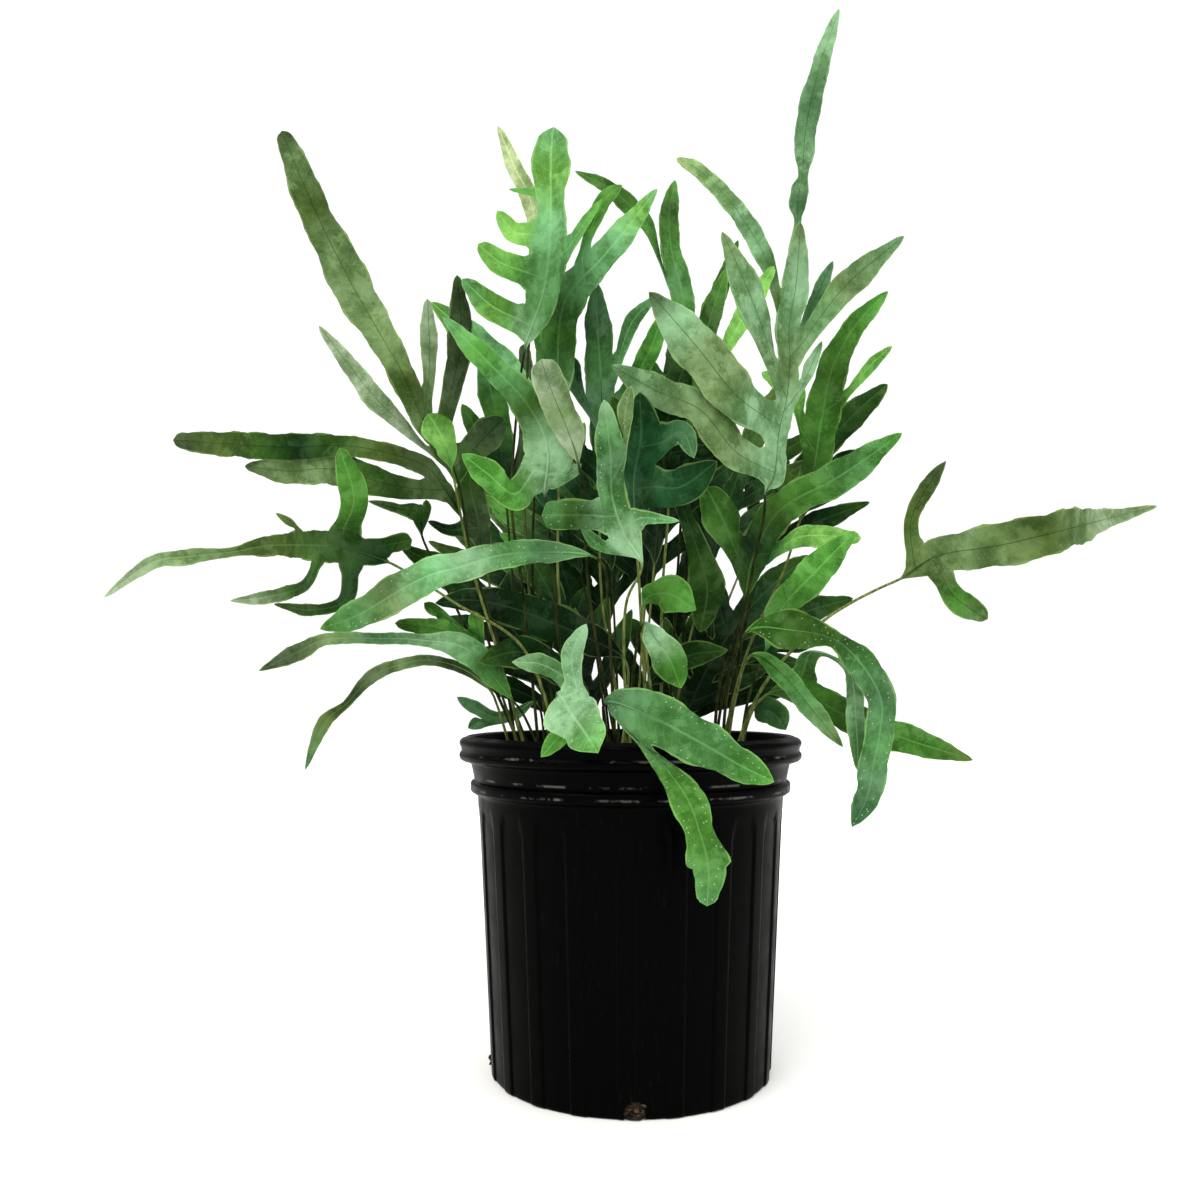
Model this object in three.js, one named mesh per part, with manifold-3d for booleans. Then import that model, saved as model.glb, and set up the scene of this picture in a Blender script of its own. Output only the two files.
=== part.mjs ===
// A blue star fern growing in a black ten-inch nursery pot.
// Millimetres, +Z up, the origin at the middle of the pot's foot, the front of the plant towards -Y.

import * as THREE from "three";
import { mergeVertices } from "three/addons/utils/BufferGeometryUtils.js";
import Module from "manifold-3d";

const wasm = await Module();
wasm.setup();

// Pot
const POT_HEIGHT = 242;
const RIM_RADIUS = 127;
const NECK_RADIUS = 119;
const BEAD_RADIUS = 118.5;
const WALL_TOP_RADIUS = 113.5;
const FOOT_RADIUS = 102;
const WALL = 2.2;
const FLOOR = 3;
const RIM_BAND = 17;
const RIM_BULGE = 1.5;
const FOOT_ROUND = 1.5;
const BEAD_LEVEL = 205;
const BEAD_BAND = 13;
const FLUTES = 20;
const FLUTE_OFFSET = THREE.MathUtils.degToRad(6);
const FLUTE_ANGLE = THREE.MathUtils.degToRad(12.5);
const FLUTE_DEPTH = 1.2;
const FLUTE_TOP = 190;
const FLUTE_RUNOUT = 8;
const DRAIN_HOLES = 4;
const DRAIN_WIDTH = 14;
const DRAIN_HEIGHT = 12;
const DRAIN_DEPTH = 14;

// Soil
const SOIL_LEVEL = 217;
const SOIL_LUMPS = [
  { rise: 1.5, along: 0.13, across: 0.17 },
  { rise: 0.9, along: 0.31, across: -0.27 },
];
const SOIL_RINGS = 7;
const SOIL_SIDES = 40;
const GAP = 0.3;

// Fronds
const STIPE = 2.6;
const STIPE_DEPTH = 14;
const STIPE_STEP = 48;
const BLADE = 0.8;
const RIB_FADE = 26;
const SPINE_STEP = 15;
const RIM_STEP = 4;
const LOBE_STEP = 25;
const RIPPLE = 1.8;
const RIPPLE_LENGTH = 47;
const RIPPLE_WIDTH = 18;
const RAGGED = 0.07;
const RAGGED_LENGTH = 25;
const FROND_TURN = 2.4;
const PER_SPAN = 14;
const SIGHT_ROUNDS = 30;
const ROOT_BLEND = 0.7;
const ROOT_RUN = 75;
const LEAST_TIP = 2;
const LIFT = 4;
const LIFT_RUN = 26;
const LOBE_CLEAR = 2;

// The crown is built up of curved layers, one behind another, from -1 at its front to 1 at its back.
const CROWN_DEPTH = 88;
const CROWN_SPREAD = 0.42;
const CROWN_REACH = 430;
const CROWN_ROUND = 0.75;

// All the layers sway to and fro together, more with height, so that the blades face many ways.
const SWAY_RISE = 190;
const SWAYS = [
  { reach: 32, along: 235, up: 950, start: 0.9 },
  { reach: 10, along: 118, up: -420, start: 2.1 },
];

// A place on a layer is given by where it is seen from the front, on a square picture.
const PICTURE = 1200;
const FOCAL = 1097;
const EYE = new THREE.Vector3(-22.4, -830, 277.5);
const EYE_TILT = 0.0795;

const SAGE = 0x73886a;
const FRESH = 0x5ba050;
const DEEP = 0x37683f;
const BLUE = 0x5e9a80;
const OLIVE = 0x55683f;
const PALE = 0x8fc07c;

// Fronds laid out one by one. A place is [across, down] as seen from the front, with a third number
// where it stands off its layer, towards the back if positive. Widths are in millimetres.
// "root" is how far right of the pot's middle the stipe leaves the soil, and "at" is how far up the
// blade a lobe grows, from 0 at its base to 1 at its tip.
const FRONDS = [
  {
    name: "frond_tall_left", tone: SAGE, layer: -0.215, root: -82,
    stipe: [[499, 646], [483, 596], [469, 546]],
    spine: [[459, 486], [445, 450], [425, 425], [400, 370], [350, 282], [312, 205], [282, 131]],
    widths: [5, 15, 15, 19, 29, 22, 10],
    lobes: [
      { at: 0.09, path: [[377, 400], [350, 366], [319, 326]], widths: [17, 16, 12, 3] },
      { at: 0.2, path: [[429, 352], [427, 299]], widths: [15, 14, 5] },
      { at: 0.07, path: [[460, 340], [457, 275]], widths: [18, 19, 5] },
      { at: 0.02, path: [[486, 436], [504, 418]], widths: [22, 26, 10] },
    ],
  },
  {
    name: "frond_left_level", tone: OLIVE, layer: 0.02, root: -72,
    stipe: [[488, 640], [470, 570]],
    spine: [[461, 517], [443, 488], [426, 467], [390, 454], [346, 446], [290, 447], [225, 444], [173, 440]],
    widths: [5, 12, 14, 14, 16, 21, 20, 11],
    lobes: [
      { at: 0.1, path: [[395, 486], [330, 469], [290, 471], [245, 466]], widths: [22, 24, 24, 20, 4] },
    ],
  },
  {
    name: "frond_left_claw", tone: DEEP, layer: -0.42, root: -50,
    stipe: [[523, 648], [455, 603], [420, 580]],
    spine: [
      [388, 562], [345, 548], [300, 545], [265, 546], [233, 552], [185, 557], [154, 562], [104, 597],
    ],
    widths: [9, 23, 20, 15, 7, 12, 10, 2],
    lobes: [
      { at: 0.13, path: [[354, 500], [340, 448]], widths: [18, 21, 7] },
      { at: 0.34, path: [[276, 513]], widths: [9, 2] },
      { at: 0.22, path: [[304, 585], [268, 597], [230, 601]], widths: [14, 13, 10, 2] },
      { at: 0.09, path: [[345, 600], [311, 610], [274, 604]], widths: [12, 11, 9, 2] },
      { at: 0.03, path: [[412, 540]], widths: [12, 12] },
    ],
  },
  {
    name: "frond_front_long", tone: BLUE, layer: -0.86, root: -12,
    stipe: [[612, 684], [608, 610], [604, 566]],
    spine: [
      [592, 556], [540, 552], [501, 555], [460, 567], [430, 575], [400, 590], [360, 614], [320, 629],
    ],
    widths: [4, 16, 18, 20, 22, 24, 19, 3],
    lobes: [],
  },
  {
    name: "frond_low_left", tone: BLUE, layer: -0.33, root: -62,
    stipe: [[522, 712]],
    spine: [
      [512, 700], [490, 672], [465, 648], [421, 640], [370, 638], [324, 640], [298, 652], [259, 671],
    ],
    widths: [5, 17, 20, 9, 8, 9, 13, 2],
    lobes: [],
  },
  {
    name: "frond_low_left_droop", tone: OLIVE, layer: -0.1, root: -86,
    stipe: [[497, 705]],
    spine: [
      [490, 690], [463, 669], [426, 660], [395, 666], [371, 677], [347, 703], [325, 722], [305, 770],
    ],
    widths: [4, 8, 8, 9, 10, 6, 10, 2],
    lobes: [],
  },
  {
    name: "frond_rim_left", tone: FRESH, layer: 0.14, root: -64,
    stipe: [],
    spine: [[536, 702], [515, 714], [495, 717], [475, 708], [457, 697]],
    widths: [4, 9, 9, 10, 4],
    lobes: [{ at: 0.45, path: [[480, 722], [468, 728]], widths: [12, 11, 5] }],
  },
  {
    name: "frond_small_left", tone: DEEP, layer: -0.27, root: -78,
    stipe: [[500, 690]],
    spine: [[487, 660], [470, 642], [440, 630], [395, 623]],
    widths: [4, 12, 15, 6],
    lobes: [
      { at: 0.16, path: [[473, 611]], widths: [14, 7] },
      { at: 0.42, path: [[424, 603]], widths: [11, 7] },
    ],
  },
  {
    name: "frond_dark_low", tone: DEEP, layer: -0.165, root: -8,
    stipe: [[628, 690]],
    spine: [[625, 660], [592, 640], [550, 622], [505, 606], [470, 600], [435, 603]],
    widths: [5, 24, 30, 26, 17, 3],
    lobes: [],
  },
  {
    name: "frond_front_small", tone: BLUE, layer: -0.96, root: -42,
    stipe: [[556, 712, -16]],
    spine: [[558, 694, -34], [570, 712, -54], [586, 734, -72], [598, 753, -80]],
    widths: [12, 34, 26, 3],
    lobes: [
      { at: 0.08, path: [[572, 655, -30], [586, 624, -26]], widths: [11, 14, 5] },
    ],
  },
  {
    name: "frond_rim_bright", tone: FRESH, layer: -0.9, root: -34,
    stipe: [[589, 744, -4]],
    spine: [[584, 724, -22], [573, 725, -40], [559, 737, -50], [541, 757, -52]],
    widths: [3, 9, 12, 4],
    lobes: [],
  },
  {
    name: "frond_front_big", tone: BLUE, layer: -1, root: -17,
    stipe: [[604, 722, -8]],
    spine: [[606, 702, -26], [650, 716, -44], [700, 742, -56], [740, 765, -62], [774, 782, -66]],
    widths: [14, 31, 29, 20, 5],
    lobes: [
      {
        at: 0.2, lift: 0,
        path: [[660, 762, -46], [688, 800, -60], [699, 830, -62], [708, 865, -60], [707, 906, -58]],
        widths: [24, 24, 24, 18, 27, 18, 6],
      },
    ],
  },
  {
    name: "frond_front_leaf", tone: BLUE, layer: -0.93, root: 2,
    stipe: [[632, 690]],
    spine: [[644, 622, -6], [655, 638, -12], [670, 660, -18], [681, 688, -20]],
    widths: [4, 15, 23, 5],
    lobes: [],
  },
  {
    name: "frond_curled", tone: FRESH, layer: -0.66, root: 20,
    stipe: [[652, 700], [646, 650]],
    spine: [[643, 606], [652, 595], [670, 594], [696, 610]],
    widths: [5, 15, 25, 3],
    lobes: [],
  },
  {
    name: "frond_pale_top", tone: PALE, layer: -0.3, root: -66,
    stipe: [[524, 600], [512, 510], [516, 420]],
    spine: [
      [526, 345], [538, 310], [546, 280], [550, 245], [551, 205], [551, 165], [552, 143], [554, 127],
    ],
    widths: [9, 22, 25, 24, 19, 27, 22, 9],
    lobes: [
      { at: 0.1, path: [[492, 306], [462, 279]], widths: [22, 20, 6] },
      { at: 0.33, path: [[500, 262], [478, 244]], widths: [20, 18, 9] },
      { at: 0.47, path: [[515, 232], [497, 211]], widths: [17, 15, 6] },
      { at: 0.46, path: [[585, 222], [602, 199]], widths: [11, 7, 2] },
    ],
  },
  {
    name: "frond_yellow_tip", tone: PALE, layer: -0.08, root: -58,
    stipe: [[530, 600], [524, 480]],
    spine: [[530, 330], [538, 250], [529, 195], [516, 170], [498, 126]],
    widths: [5, 14, 14, 12, 3],
    lobes: [],
  },
  {
    name: "frond_long_pale", tone: PALE, layer: -0.12, root: -38,
    stipe: [[559, 595], [558, 520]],
    spine: [[562, 410], [558, 360], [566, 300], [604, 256], [657, 189]],
    widths: [7, 26, 27, 20, 3],
    lobes: [
      { at: 0.42, path: [[560, 232], [546, 198], [509, 189]], widths: [11, 9, 8, 2] },
      { at: 0.58, path: [[594, 222], [607, 197], [622, 185]], widths: [14, 12, 11, 3] },
    ],
  },
  {
    name: "frond_upright", tone: FRESH, layer: 0.1, root: 40,
    stipe: [[684, 620], [690, 480]],
    spine: [[690, 380], [685, 320], [680, 284], [671, 248], [669, 213], [675, 180]],
    widths: [7, 17, 18, 16, 15, 3],
    lobes: [
      { at: 0.5, path: [[646, 222], [629, 205], [609, 188], [575, 171]], widths: [13, 14, 15, 11, 2] },
      { at: 0.2, path: [[716, 300], [738, 240]], widths: [16, 16, 3] },
    ],
  },
  {
    name: "frond_teal_mid", tone: BLUE, layer: -0.02, root: 0,
    stipe: [[602, 600], [600, 500]],
    spine: [[602, 440], [601, 385], [598, 330], [596, 281]],
    widths: [7, 22, 20, 4],
    lobes: [
      { at: 0.42, path: [[632, 322], [655, 297]], widths: [15, 12, 3] },
      { at: 0.18, path: [[646, 358], [664, 312]], widths: [17, 17, 4] },
      { at: 0.14, path: [[570, 370], [556, 345]], widths: [20, 18, 5] },
    ],
  },
  {
    name: "frond_tall_right", tone: SAGE, layer: -0.48, root: 58,
    stipe: [[721, 676], [744, 610], [756, 554], [764, 516]],
    spine: [
      [766, 491], [773, 478], [778, 432], [786, 397], [789, 361], [788, 328], [795, 286], [800, 222],
    ],
    widths: [6, 15, 15, 14, 15, 17, 19, 5],
    lobes: [
      { at: 0.09, path: [[735, 452], [700, 410], [655, 390], [612, 365]], widths: [25, 27, 21, 22, 3] },
      { at: 0.24, path: [[738, 398], [695, 345], [649, 292]], widths: [25, 33, 31, 4] },
      { at: 0.43, path: [[752, 302], [722, 232]], widths: [22, 22, 3] },
      { at: 0.55, path: [[842, 290], [904, 236]], widths: [20, 21, 3] },
      { at: 0.4, path: [[822, 341]], widths: [14, 3] },
    ],
  },
  {
    name: "frond_spike", tone: SAGE, layer: 0.2, root: 72,
    stipe: [[742, 640], [775, 500]],
    spine: [
      [782, 400], [788, 320], [796, 240], [798, 221], [798, 203], [800, 189], [803, 177], [804, 150],
      [810, 108], [822, 60], [839, 9],
    ],
    widths: [6, 15, 9, 6, 15, 14, 8, 17, 18, 14, 3],
    lobes: [
      { at: 0.24, path: [[767, 261], [733, 205], [699, 171], [677, 158]], widths: [20, 18, 16, 13, 4] },
      { at: 0.16, path: [[820, 290], [833, 261]], widths: [14, 12, 3] },
    ],
  },
  {
    name: "frond_right_green", tone: DEEP, layer: -0.06, root: 66,
    stipe: [[748, 650], [784, 570]],
    spine: [[800, 520], [812, 480], [822, 420], [832, 370], [856, 325], [888, 291]],
    widths: [6, 22, 28, 24, 16, 3],
    lobes: [
      { at: 0.52, path: [[872, 364], [892, 346]], widths: [10, 9, 3] },
      { at: 0.36, path: [[796, 396], [762, 372]], widths: [22, 20, 4] },
    ],
  },
  {
    name: "frond_right_fan", tone: FRESH, layer: -0.28, root: 60,
    stipe: [[724, 690], [738, 640]],
    spine: [[745, 598], [752, 560], [778, 512], [840, 476], [902, 433]],
    widths: [7, 22, 25, 25, 4],
    lobes: [
      { at: 0.14, path: [[724, 522], [706, 487]], widths: [26, 28, 12] },
      { at: 0.2, path: [[800, 537], [861, 538]], widths: [17, 18, 8] },
    ],
  },
  {
    name: "frond_right_bright", tone: FRESH, layer: -0.36, root: 78,
    stipe: [[748, 700]],
    spine: [[766, 650], [780, 611], [815, 572], [855, 531]],
    widths: [5, 20, 25, 5],
    lobes: [],
  },
  {
    name: "frond_outlier", tone: SAGE, layer: -0.54, root: 70,
    stipe: [[762, 688], [821, 623], [849, 604], [880, 588]],
    spine: [[902, 578], [935, 557], [1001, 545], [1074, 527], [1157, 506]],
    widths: [8, 26, 30, 26, 3],
    lobes: [
      { at: 0.06, path: [[911, 520], [926, 489], [946, 461]], widths: [14, 13, 12, 2] },
      { at: 0.1, path: [[955, 597], [988, 619]], widths: [18, 20, 9] },
    ],
  },
  {
    name: "frond_right_low", tone: BLUE, layer: -0.74, root: 62,
    stipe: [[728, 690]],
    spine: [
      [748, 631], [790, 630], [835, 640], [862, 665], [881, 700], [880, 730], [872, 772], [867, 797],
      [852, 827],
    ],
    widths: [8, 28, 12, 22, 20, 20, 21, 18, 3],
    lobes: [],
  },
  {
    name: "frond_right_sage", tone: SAGE, layer: -0.62, root: 66,
    stipe: [[735, 700]],
    spine: [[752, 655], [782, 674], [814, 712], [843, 747]],
    widths: [7, 14, 14, 2],
    lobes: [],
  },
  {
    name: "frond_right_trailing", tone: FRESH, layer: -0.44, root: 76,
    stipe: [[752, 712]],
    spine: [[768, 694], [800, 690], [840, 713], [900, 737], [973, 760]],
    widths: [6, 20, 22, 22, 3],
    lobes: [
      {
        at: 0.12, lift: 0,
        path: [[812, 652, -4], [847, 668, -12], [856, 724, -12], [858, 771, -12]],
        widths: [11, 10, 12, 13, 3],
      },
    ],
  },
  {
    name: "frond_rim_right", tone: DEEP, layer: -0.24, root: 84,
    stipe: [],
    spine: [[750, 706], [762, 708], [776, 716], [786, 730]],
    widths: [5, 20, 18, 5],
    lobes: [],
  },
  {
    name: "frond_blue_front", tone: BLUE, layer: -0.8, root: 0,
    stipe: [[624, 663], [627, 600]],
    spine: [[642, 564], [626, 537], [613, 499], [610, 450], [604, 400]],
    widths: [4, 20, 18, 18, 5],
    lobes: [
      { at: 0.28, path: [[590, 515], [542, 515]], widths: [18, 21, 19] },
      { at: 0.24, path: [[640, 518], [679, 521]], widths: [12, 8, 2] },
      { at: 0.12, path: [[600, 545], [581, 527]], widths: [13, 10, 3] },
      { at: 0.66, path: [[625, 415], [631, 386]], widths: [12, 11, 4] },
    ],
  },
  {
    name: "frond_pale_left", tone: PALE, layer: -0.7, root: -34,
    stipe: [[559, 640], [553, 560]],
    spine: [[545, 494], [548, 448], [528, 405], [488, 362], [443, 317]],
    widths: [7, 31, 21, 17, 3],
    lobes: [
      { at: 0.09, path: [[564, 476], [581, 464]], widths: [15, 12, 4] },
      { at: 0.09, path: [[515, 494], [488, 474], [462, 454]], widths: [20, 22, 19, 4] },
    ],
  },
  {
    name: "frond_ash", tone: PALE, layer: -0.75, root: -8,
    stipe: [[590, 600], [584, 520]],
    spine: [[579, 466], [569, 432], [554, 395], [542, 359]],
    widths: [3, 19, 21, 16],
    lobes: [],
  },
  {
    name: "frond_teal_centre", tone: BLUE, layer: -0.6, root: 12,
    stipe: [[640, 600]],
    spine: [[635, 514], [634, 480], [641, 436], [640, 392]],
    widths: [8, 28, 27, 6],
    lobes: [
      { at: 0.2, path: [[680, 487], [717, 461]], widths: [26, 26, 4] },
      { at: 0.54, path: [[682, 432], [694, 458]], widths: [15, 14, 4] },
    ],
  },
  {
    name: "frond_mint", tone: PALE, layer: 0.08, root: -48,
    stipe: [[534, 600]],
    spine: [[532, 430], [512, 378], [474, 340], [431, 302]],
    widths: [7, 25, 25, 4],
    lobes: [{ at: 0.2, path: [[543, 352], [535, 310]], widths: [16, 14, 3] }],
  },
  {
    name: "frond_dark_left", tone: DEEP, layer: -0.05, root: -76,
    stipe: [[498, 650]],
    spine: [[487, 566], [478, 520], [470, 480], [482, 436]],
    widths: [6, 20, 22, 6],
    lobes: [{ at: 0.3, path: [[448, 530], [428, 521]], widths: [11, 8, 3] }],
  },
  {
    name: "frond_small_round", tone: FRESH, layer: -0.26, root: -74,
    stipe: [[500, 660], [470, 560]],
    spine: [[452, 470], [446, 448], [438, 430], [428, 414]],
    widths: [4, 16, 23, 12],
    lobes: [],
  },
  {
    name: "frond_mid_right", tone: FRESH, layer: 0.045, root: 28,
    stipe: [[676, 600], [684, 480]],
    spine: [[690, 430], [698, 370], [712, 312], [727, 268]],
    widths: [6, 19, 17, 3],
    lobes: [
      { at: 0.3, path: [[727, 345], [752, 302], [774, 266]], widths: [16, 16, 15, 6] },
      { at: 0.2, path: [[662, 385], [640, 350]], widths: [19, 18, 4] },
    ],
  },
  {
    name: "frond_mid_dark", tone: DEEP, layer: -0.4, root: 22,
    stipe: [[662, 600]],
    spine: [[668, 505], [664, 450], [672, 402], [690, 352]],
    widths: [6, 26, 24, 4],
    lobes: [
      { at: 0.06, path: [[696, 545], [707, 590], [700, 632]], widths: [14, 19, 25, 6] },
      { at: 0.26, path: [[704, 460], [738, 436]], widths: [22, 20, 4] },
      { at: 0.22, path: [[628, 430], [612, 396]], widths: [18, 17, 4] },
    ],
  },
  {
    name: "frond_mid_left", tone: DEEP, layer: 0.2, root: -46,
    stipe: [[520, 620]],
    spine: [[506, 500], [500, 440], [492, 396], [480, 356]],
    widths: [6, 22, 22, 4],
    lobes: [
      { at: 0.14, path: [[526, 428], [524, 344]], widths: [20, 22, 8] },
      { at: 0.3, path: [[476, 430], [462, 404]], widths: [18, 16, 4] },
    ],
  },
  {
    name: "frond_thin_left", tone: OLIVE, layer: -0.14, root: -76,
    stipe: [[462, 620], [431, 557]],
    spine: [[422, 536], [418, 514], [396, 508], [368, 501]],
    widths: [4, 13, 7, 2],
    lobes: [{ at: 0.2, path: [[426, 500]], widths: [9, 5] }],
  },
  {
    name: "frond_low_centre", tone: DEEP, layer: -0.5, root: 20,
    stipe: [],
    spine: [[648, 690], [660, 672], [690, 655], [728, 650]],
    widths: [4, 15, 18, 3],
    lobes: [],
  },
  {
    name: "frond_low_front", tone: BLUE, layer: -0.88, root: -56,
    stipe: [],
    spine: [[574, 712], [566, 680], [540, 664], [512, 662]],
    widths: [4, 12, 14, 3],
    lobes: [],
  },
  {
    name: "frond_low_middle", tone: OLIVE, layer: -0.39, root: -24,
    stipe: [],
    spine: [[590, 700], [560, 672], [520, 652], [478, 662]],
    widths: [5, 20, 24, 3],
    lobes: [],
  },
];

// Fronds at the rear, laid out by a rule: those further back have shorter stipes and arch out more.
const REAR_FRONDS = 15;
const REAR_LAYERS = [0.3, 1];
const REAR_LEANS = [0.1, -0.28, 0.36, -0.05, -0.45, 0.47, -0.2, 0.26];
const REAR_STIPES = [185, 115];
const REAR_BLADES = [215, 205];
const REAR_ARCH = [10, 90];
const REAR_RISE = 260;
const REAR_SINK = 0.2;
const REAR_WIDTHS = [6, 17, 18, 21, 24, 5];
const REAR_LOBE_PAIRS = 3;
const REAR_LOBE = { first: 0.08, apart: 0.17, stagger: 0.06, reach: 96, shrink: 16, width: 19 };
const REAR_LOBE_SWEEP = { up: 0.75, aside: 0.68, bend: 0.85 };
const REAR_ROOT_REACH = 70;
const REAR_TONES = [DEEP, FRESH, OLIVE, BLUE, FRESH];

// Every third rear frond stays low and leans far out: its lobes fill the crown's foot.
const LOW_TURN = 3;
const LOW_LEANS = [-0.75, 0.68, -0.32, 0.9, 0.3];
const LOW_STIPE = 26;
const LOW_BLADE = 188;
const LOW_ROOT_REACH = 42;
const LOW_REACH = 0.8;
const LOW_LIFT = 1.2;
const SEED = 5;

// Sight line from the eye through a point of the picture, as far as a given depth behind the pot's axis.
function sight(across, down, depth) {
  const right = (across - PICTURE / 2) / FOCAL;
  const up = (PICTURE / 2 - down) / FOCAL;
  const reach = (depth - EYE.y) / (Math.cos(EYE_TILT) - up * Math.sin(EYE_TILT));
  return new THREE.Vector3(
    EYE.x + right * reach,
    depth,
    EYE.z + (Math.sin(EYE_TILT) + up * Math.cos(EYE_TILT)) * reach,
  );
}

// How far behind the pot's axis a layer of the crown lies at a given place. Layers fan out with
// height and close up again towards the sides.
function layerDepth(layer, x, z) {
  const height = Math.max(0, z - SOIL_LEVEL);
  const fan = CROWN_DEPTH + CROWN_SPREAD * height;
  const sway = SWAYS.reduce((sum, wave) => (
    sum + wave.reach * Math.sin(2 * Math.PI * (x / wave.along + z / wave.up) + wave.start)
  ), 0);
  const rise = THREE.MathUtils.smoothstep(height, 0, SWAY_RISE);
  return layer * fan * (1 - CROWN_ROUND * (x / CROWN_REACH) ** 2) + rise * sway;
}

// How far a place stands behind its layer.
function offLayer(layer, place) {
  return place.y - layerDepth(layer, place.x, place.z);
}

// A layer charted as it is seen from the front: across and down the picture, and off the layer.
function pictureChart(layer) {
  const axis = new THREE.Vector3(0, Math.cos(EYE_TILT), Math.sin(EYE_TILT));
  const upward = new THREE.Vector3(0, -Math.sin(EYE_TILT), Math.cos(EYE_TILT));
  return {
    hand: -1,
    toSpace(spot) {
      let place = sight(spot.x, spot.y, 0);
      for (let round = 0; round < SIGHT_ROUNDS; round += 1) {
        place = sight(spot.x, spot.y, layerDepth(layer, place.x, place.z) + spot.z);
      }
      return place;
    },
    fromSpace(place) {
      const from = place.clone().sub(EYE);
      const scale = FOCAL / from.dot(axis);
      const across = PICTURE / 2 + from.x * scale;
      const down = PICTURE / 2 - from.dot(upward) * scale;
      return new THREE.Vector3(across, down, offLayer(layer, place));
    },
    scale: (place) => FOCAL / place.clone().sub(EYE).dot(axis),
  };
}

// A layer charted in real sizes: to the right and up, and off the layer.
function planChart(layer) {
  return {
    hand: 1,
    toSpace: (spot) => new THREE.Vector3(spot.x, layerDepth(layer, spot.x, spot.y) + spot.z, spot.y),
    fromSpace: (place) => new THREE.Vector3(place.x, place.z, offLayer(layer, place)),
    scale: () => 1,
  };
}

// Draws between 0 and 1 that come out the same every time.
function drawsFrom(seed) {
  let state = seed;
  return () => {
    state = (state * 16807) % 2147483647;
    return state / 2147483647;
  };
}

// A spot of a rear frond: so far along a way that starts upright and leans over more and more, and
// arches out behind its layer as it rises.
function rearSpot(rear, far, aside = 0) {
  const lean = rear.lean * (0.35 + 0.65 * (far / rear.length));
  const rise = far * Math.cos(lean) - aside * Math.sin(lean);
  const out = rear.arch * (rise / REAR_RISE) ** 2;
  const x = rear.root + far * Math.sin(lean) + aside * Math.cos(lean);
  return [x, SOIL_LEVEL + rise - out * REAR_SINK, out];
}

// The lobes of a rear frond, in pairs up both sides of its blade.
function rearLobes(rear, stipe, blade, draw) {
  const lobes = [];
  for (let pair = 0; pair < REAR_LOBE_PAIRS; pair += 1) {
    for (const side of [-1, 1]) {
      const stagger = side > 0 ? REAR_LOBE.stagger : 0;
      const at = REAR_LOBE.first + REAR_LOBE.apart * pair + stagger + 0.03 * draw();
      const whole = (REAR_LOBE.reach - REAR_LOBE.shrink * pair) * (0.8 + 0.35 * draw());
      const reach = rear.low ? whole * LOW_REACH : whole;
      const path = [0.5, 1].map((part) => {
        const far = stipe + blade * at + reach * REAR_LOBE_SWEEP.up * part;
        return rearSpot(rear, far, side * reach * REAR_LOBE_SWEEP.aside * part ** REAR_LOBE_SWEEP.bend);
      });
      const width = REAR_LOBE.width + 4 * draw();
      const lift = rear.low ? side * LOW_LIFT : undefined;
      lobes.push({ at, path, widths: [width + 4, width, 3], lift });
    }
  }
  return lobes;
}

function rearFrond(order, draw) {
  const back = order / (REAR_FRONDS - 1);
  const low = order % LOW_TURN === 1;
  const blend = ([first, last]) => first + (last - first) * back;
  const stipe = (low ? LOW_STIPE : blend(REAR_STIPES)) * (0.85 + 0.3 * draw());
  const blade = (low ? LOW_BLADE : blend(REAR_BLADES)) * (0.9 + 0.2 * draw());
  const leans = low ? LOW_LEANS : REAR_LEANS;
  const lean = leans[(low ? (order - 1) / LOW_TURN : order) % leans.length] * (0.85 + 0.3 * draw());
  const spread = low ? LOW_ROOT_REACH : REAR_ROOT_REACH * (1 - 0.4 * back);
  const root = spread * Math.sin(lean * 1.6) + 12 * (draw() - 0.5);
  const rear = { root, lean, low, length: stipe + blade, arch: blend(REAR_ARCH) };
  const lastKnot = REAR_WIDTHS.length - 1;
  return {
    name: `frond_rear_${String(order + 1).padStart(2, "0")}`,
    rear: true,
    tone: low ? DEEP : REAR_TONES[order % REAR_TONES.length],
    layer: blend(REAR_LAYERS),
    root,
    stipe: [rearSpot(rear, stipe * 0.35), rearSpot(rear, stipe * 0.7)],
    spine: REAR_WIDTHS.map((width, knot) => rearSpot(rear, stipe + (blade * knot) / lastKnot)),
    widths: REAR_WIDTHS,
    lobes: rearLobes(rear, stipe, blade, draw),
  };
}

function allFronds() {
  const draw = drawsFrom(SEED);
  const rear = Array.from({ length: REAR_FRONDS }, (unused, order) => rearFrond(order, draw));
  return [...FRONDS, ...rear];
}

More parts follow.
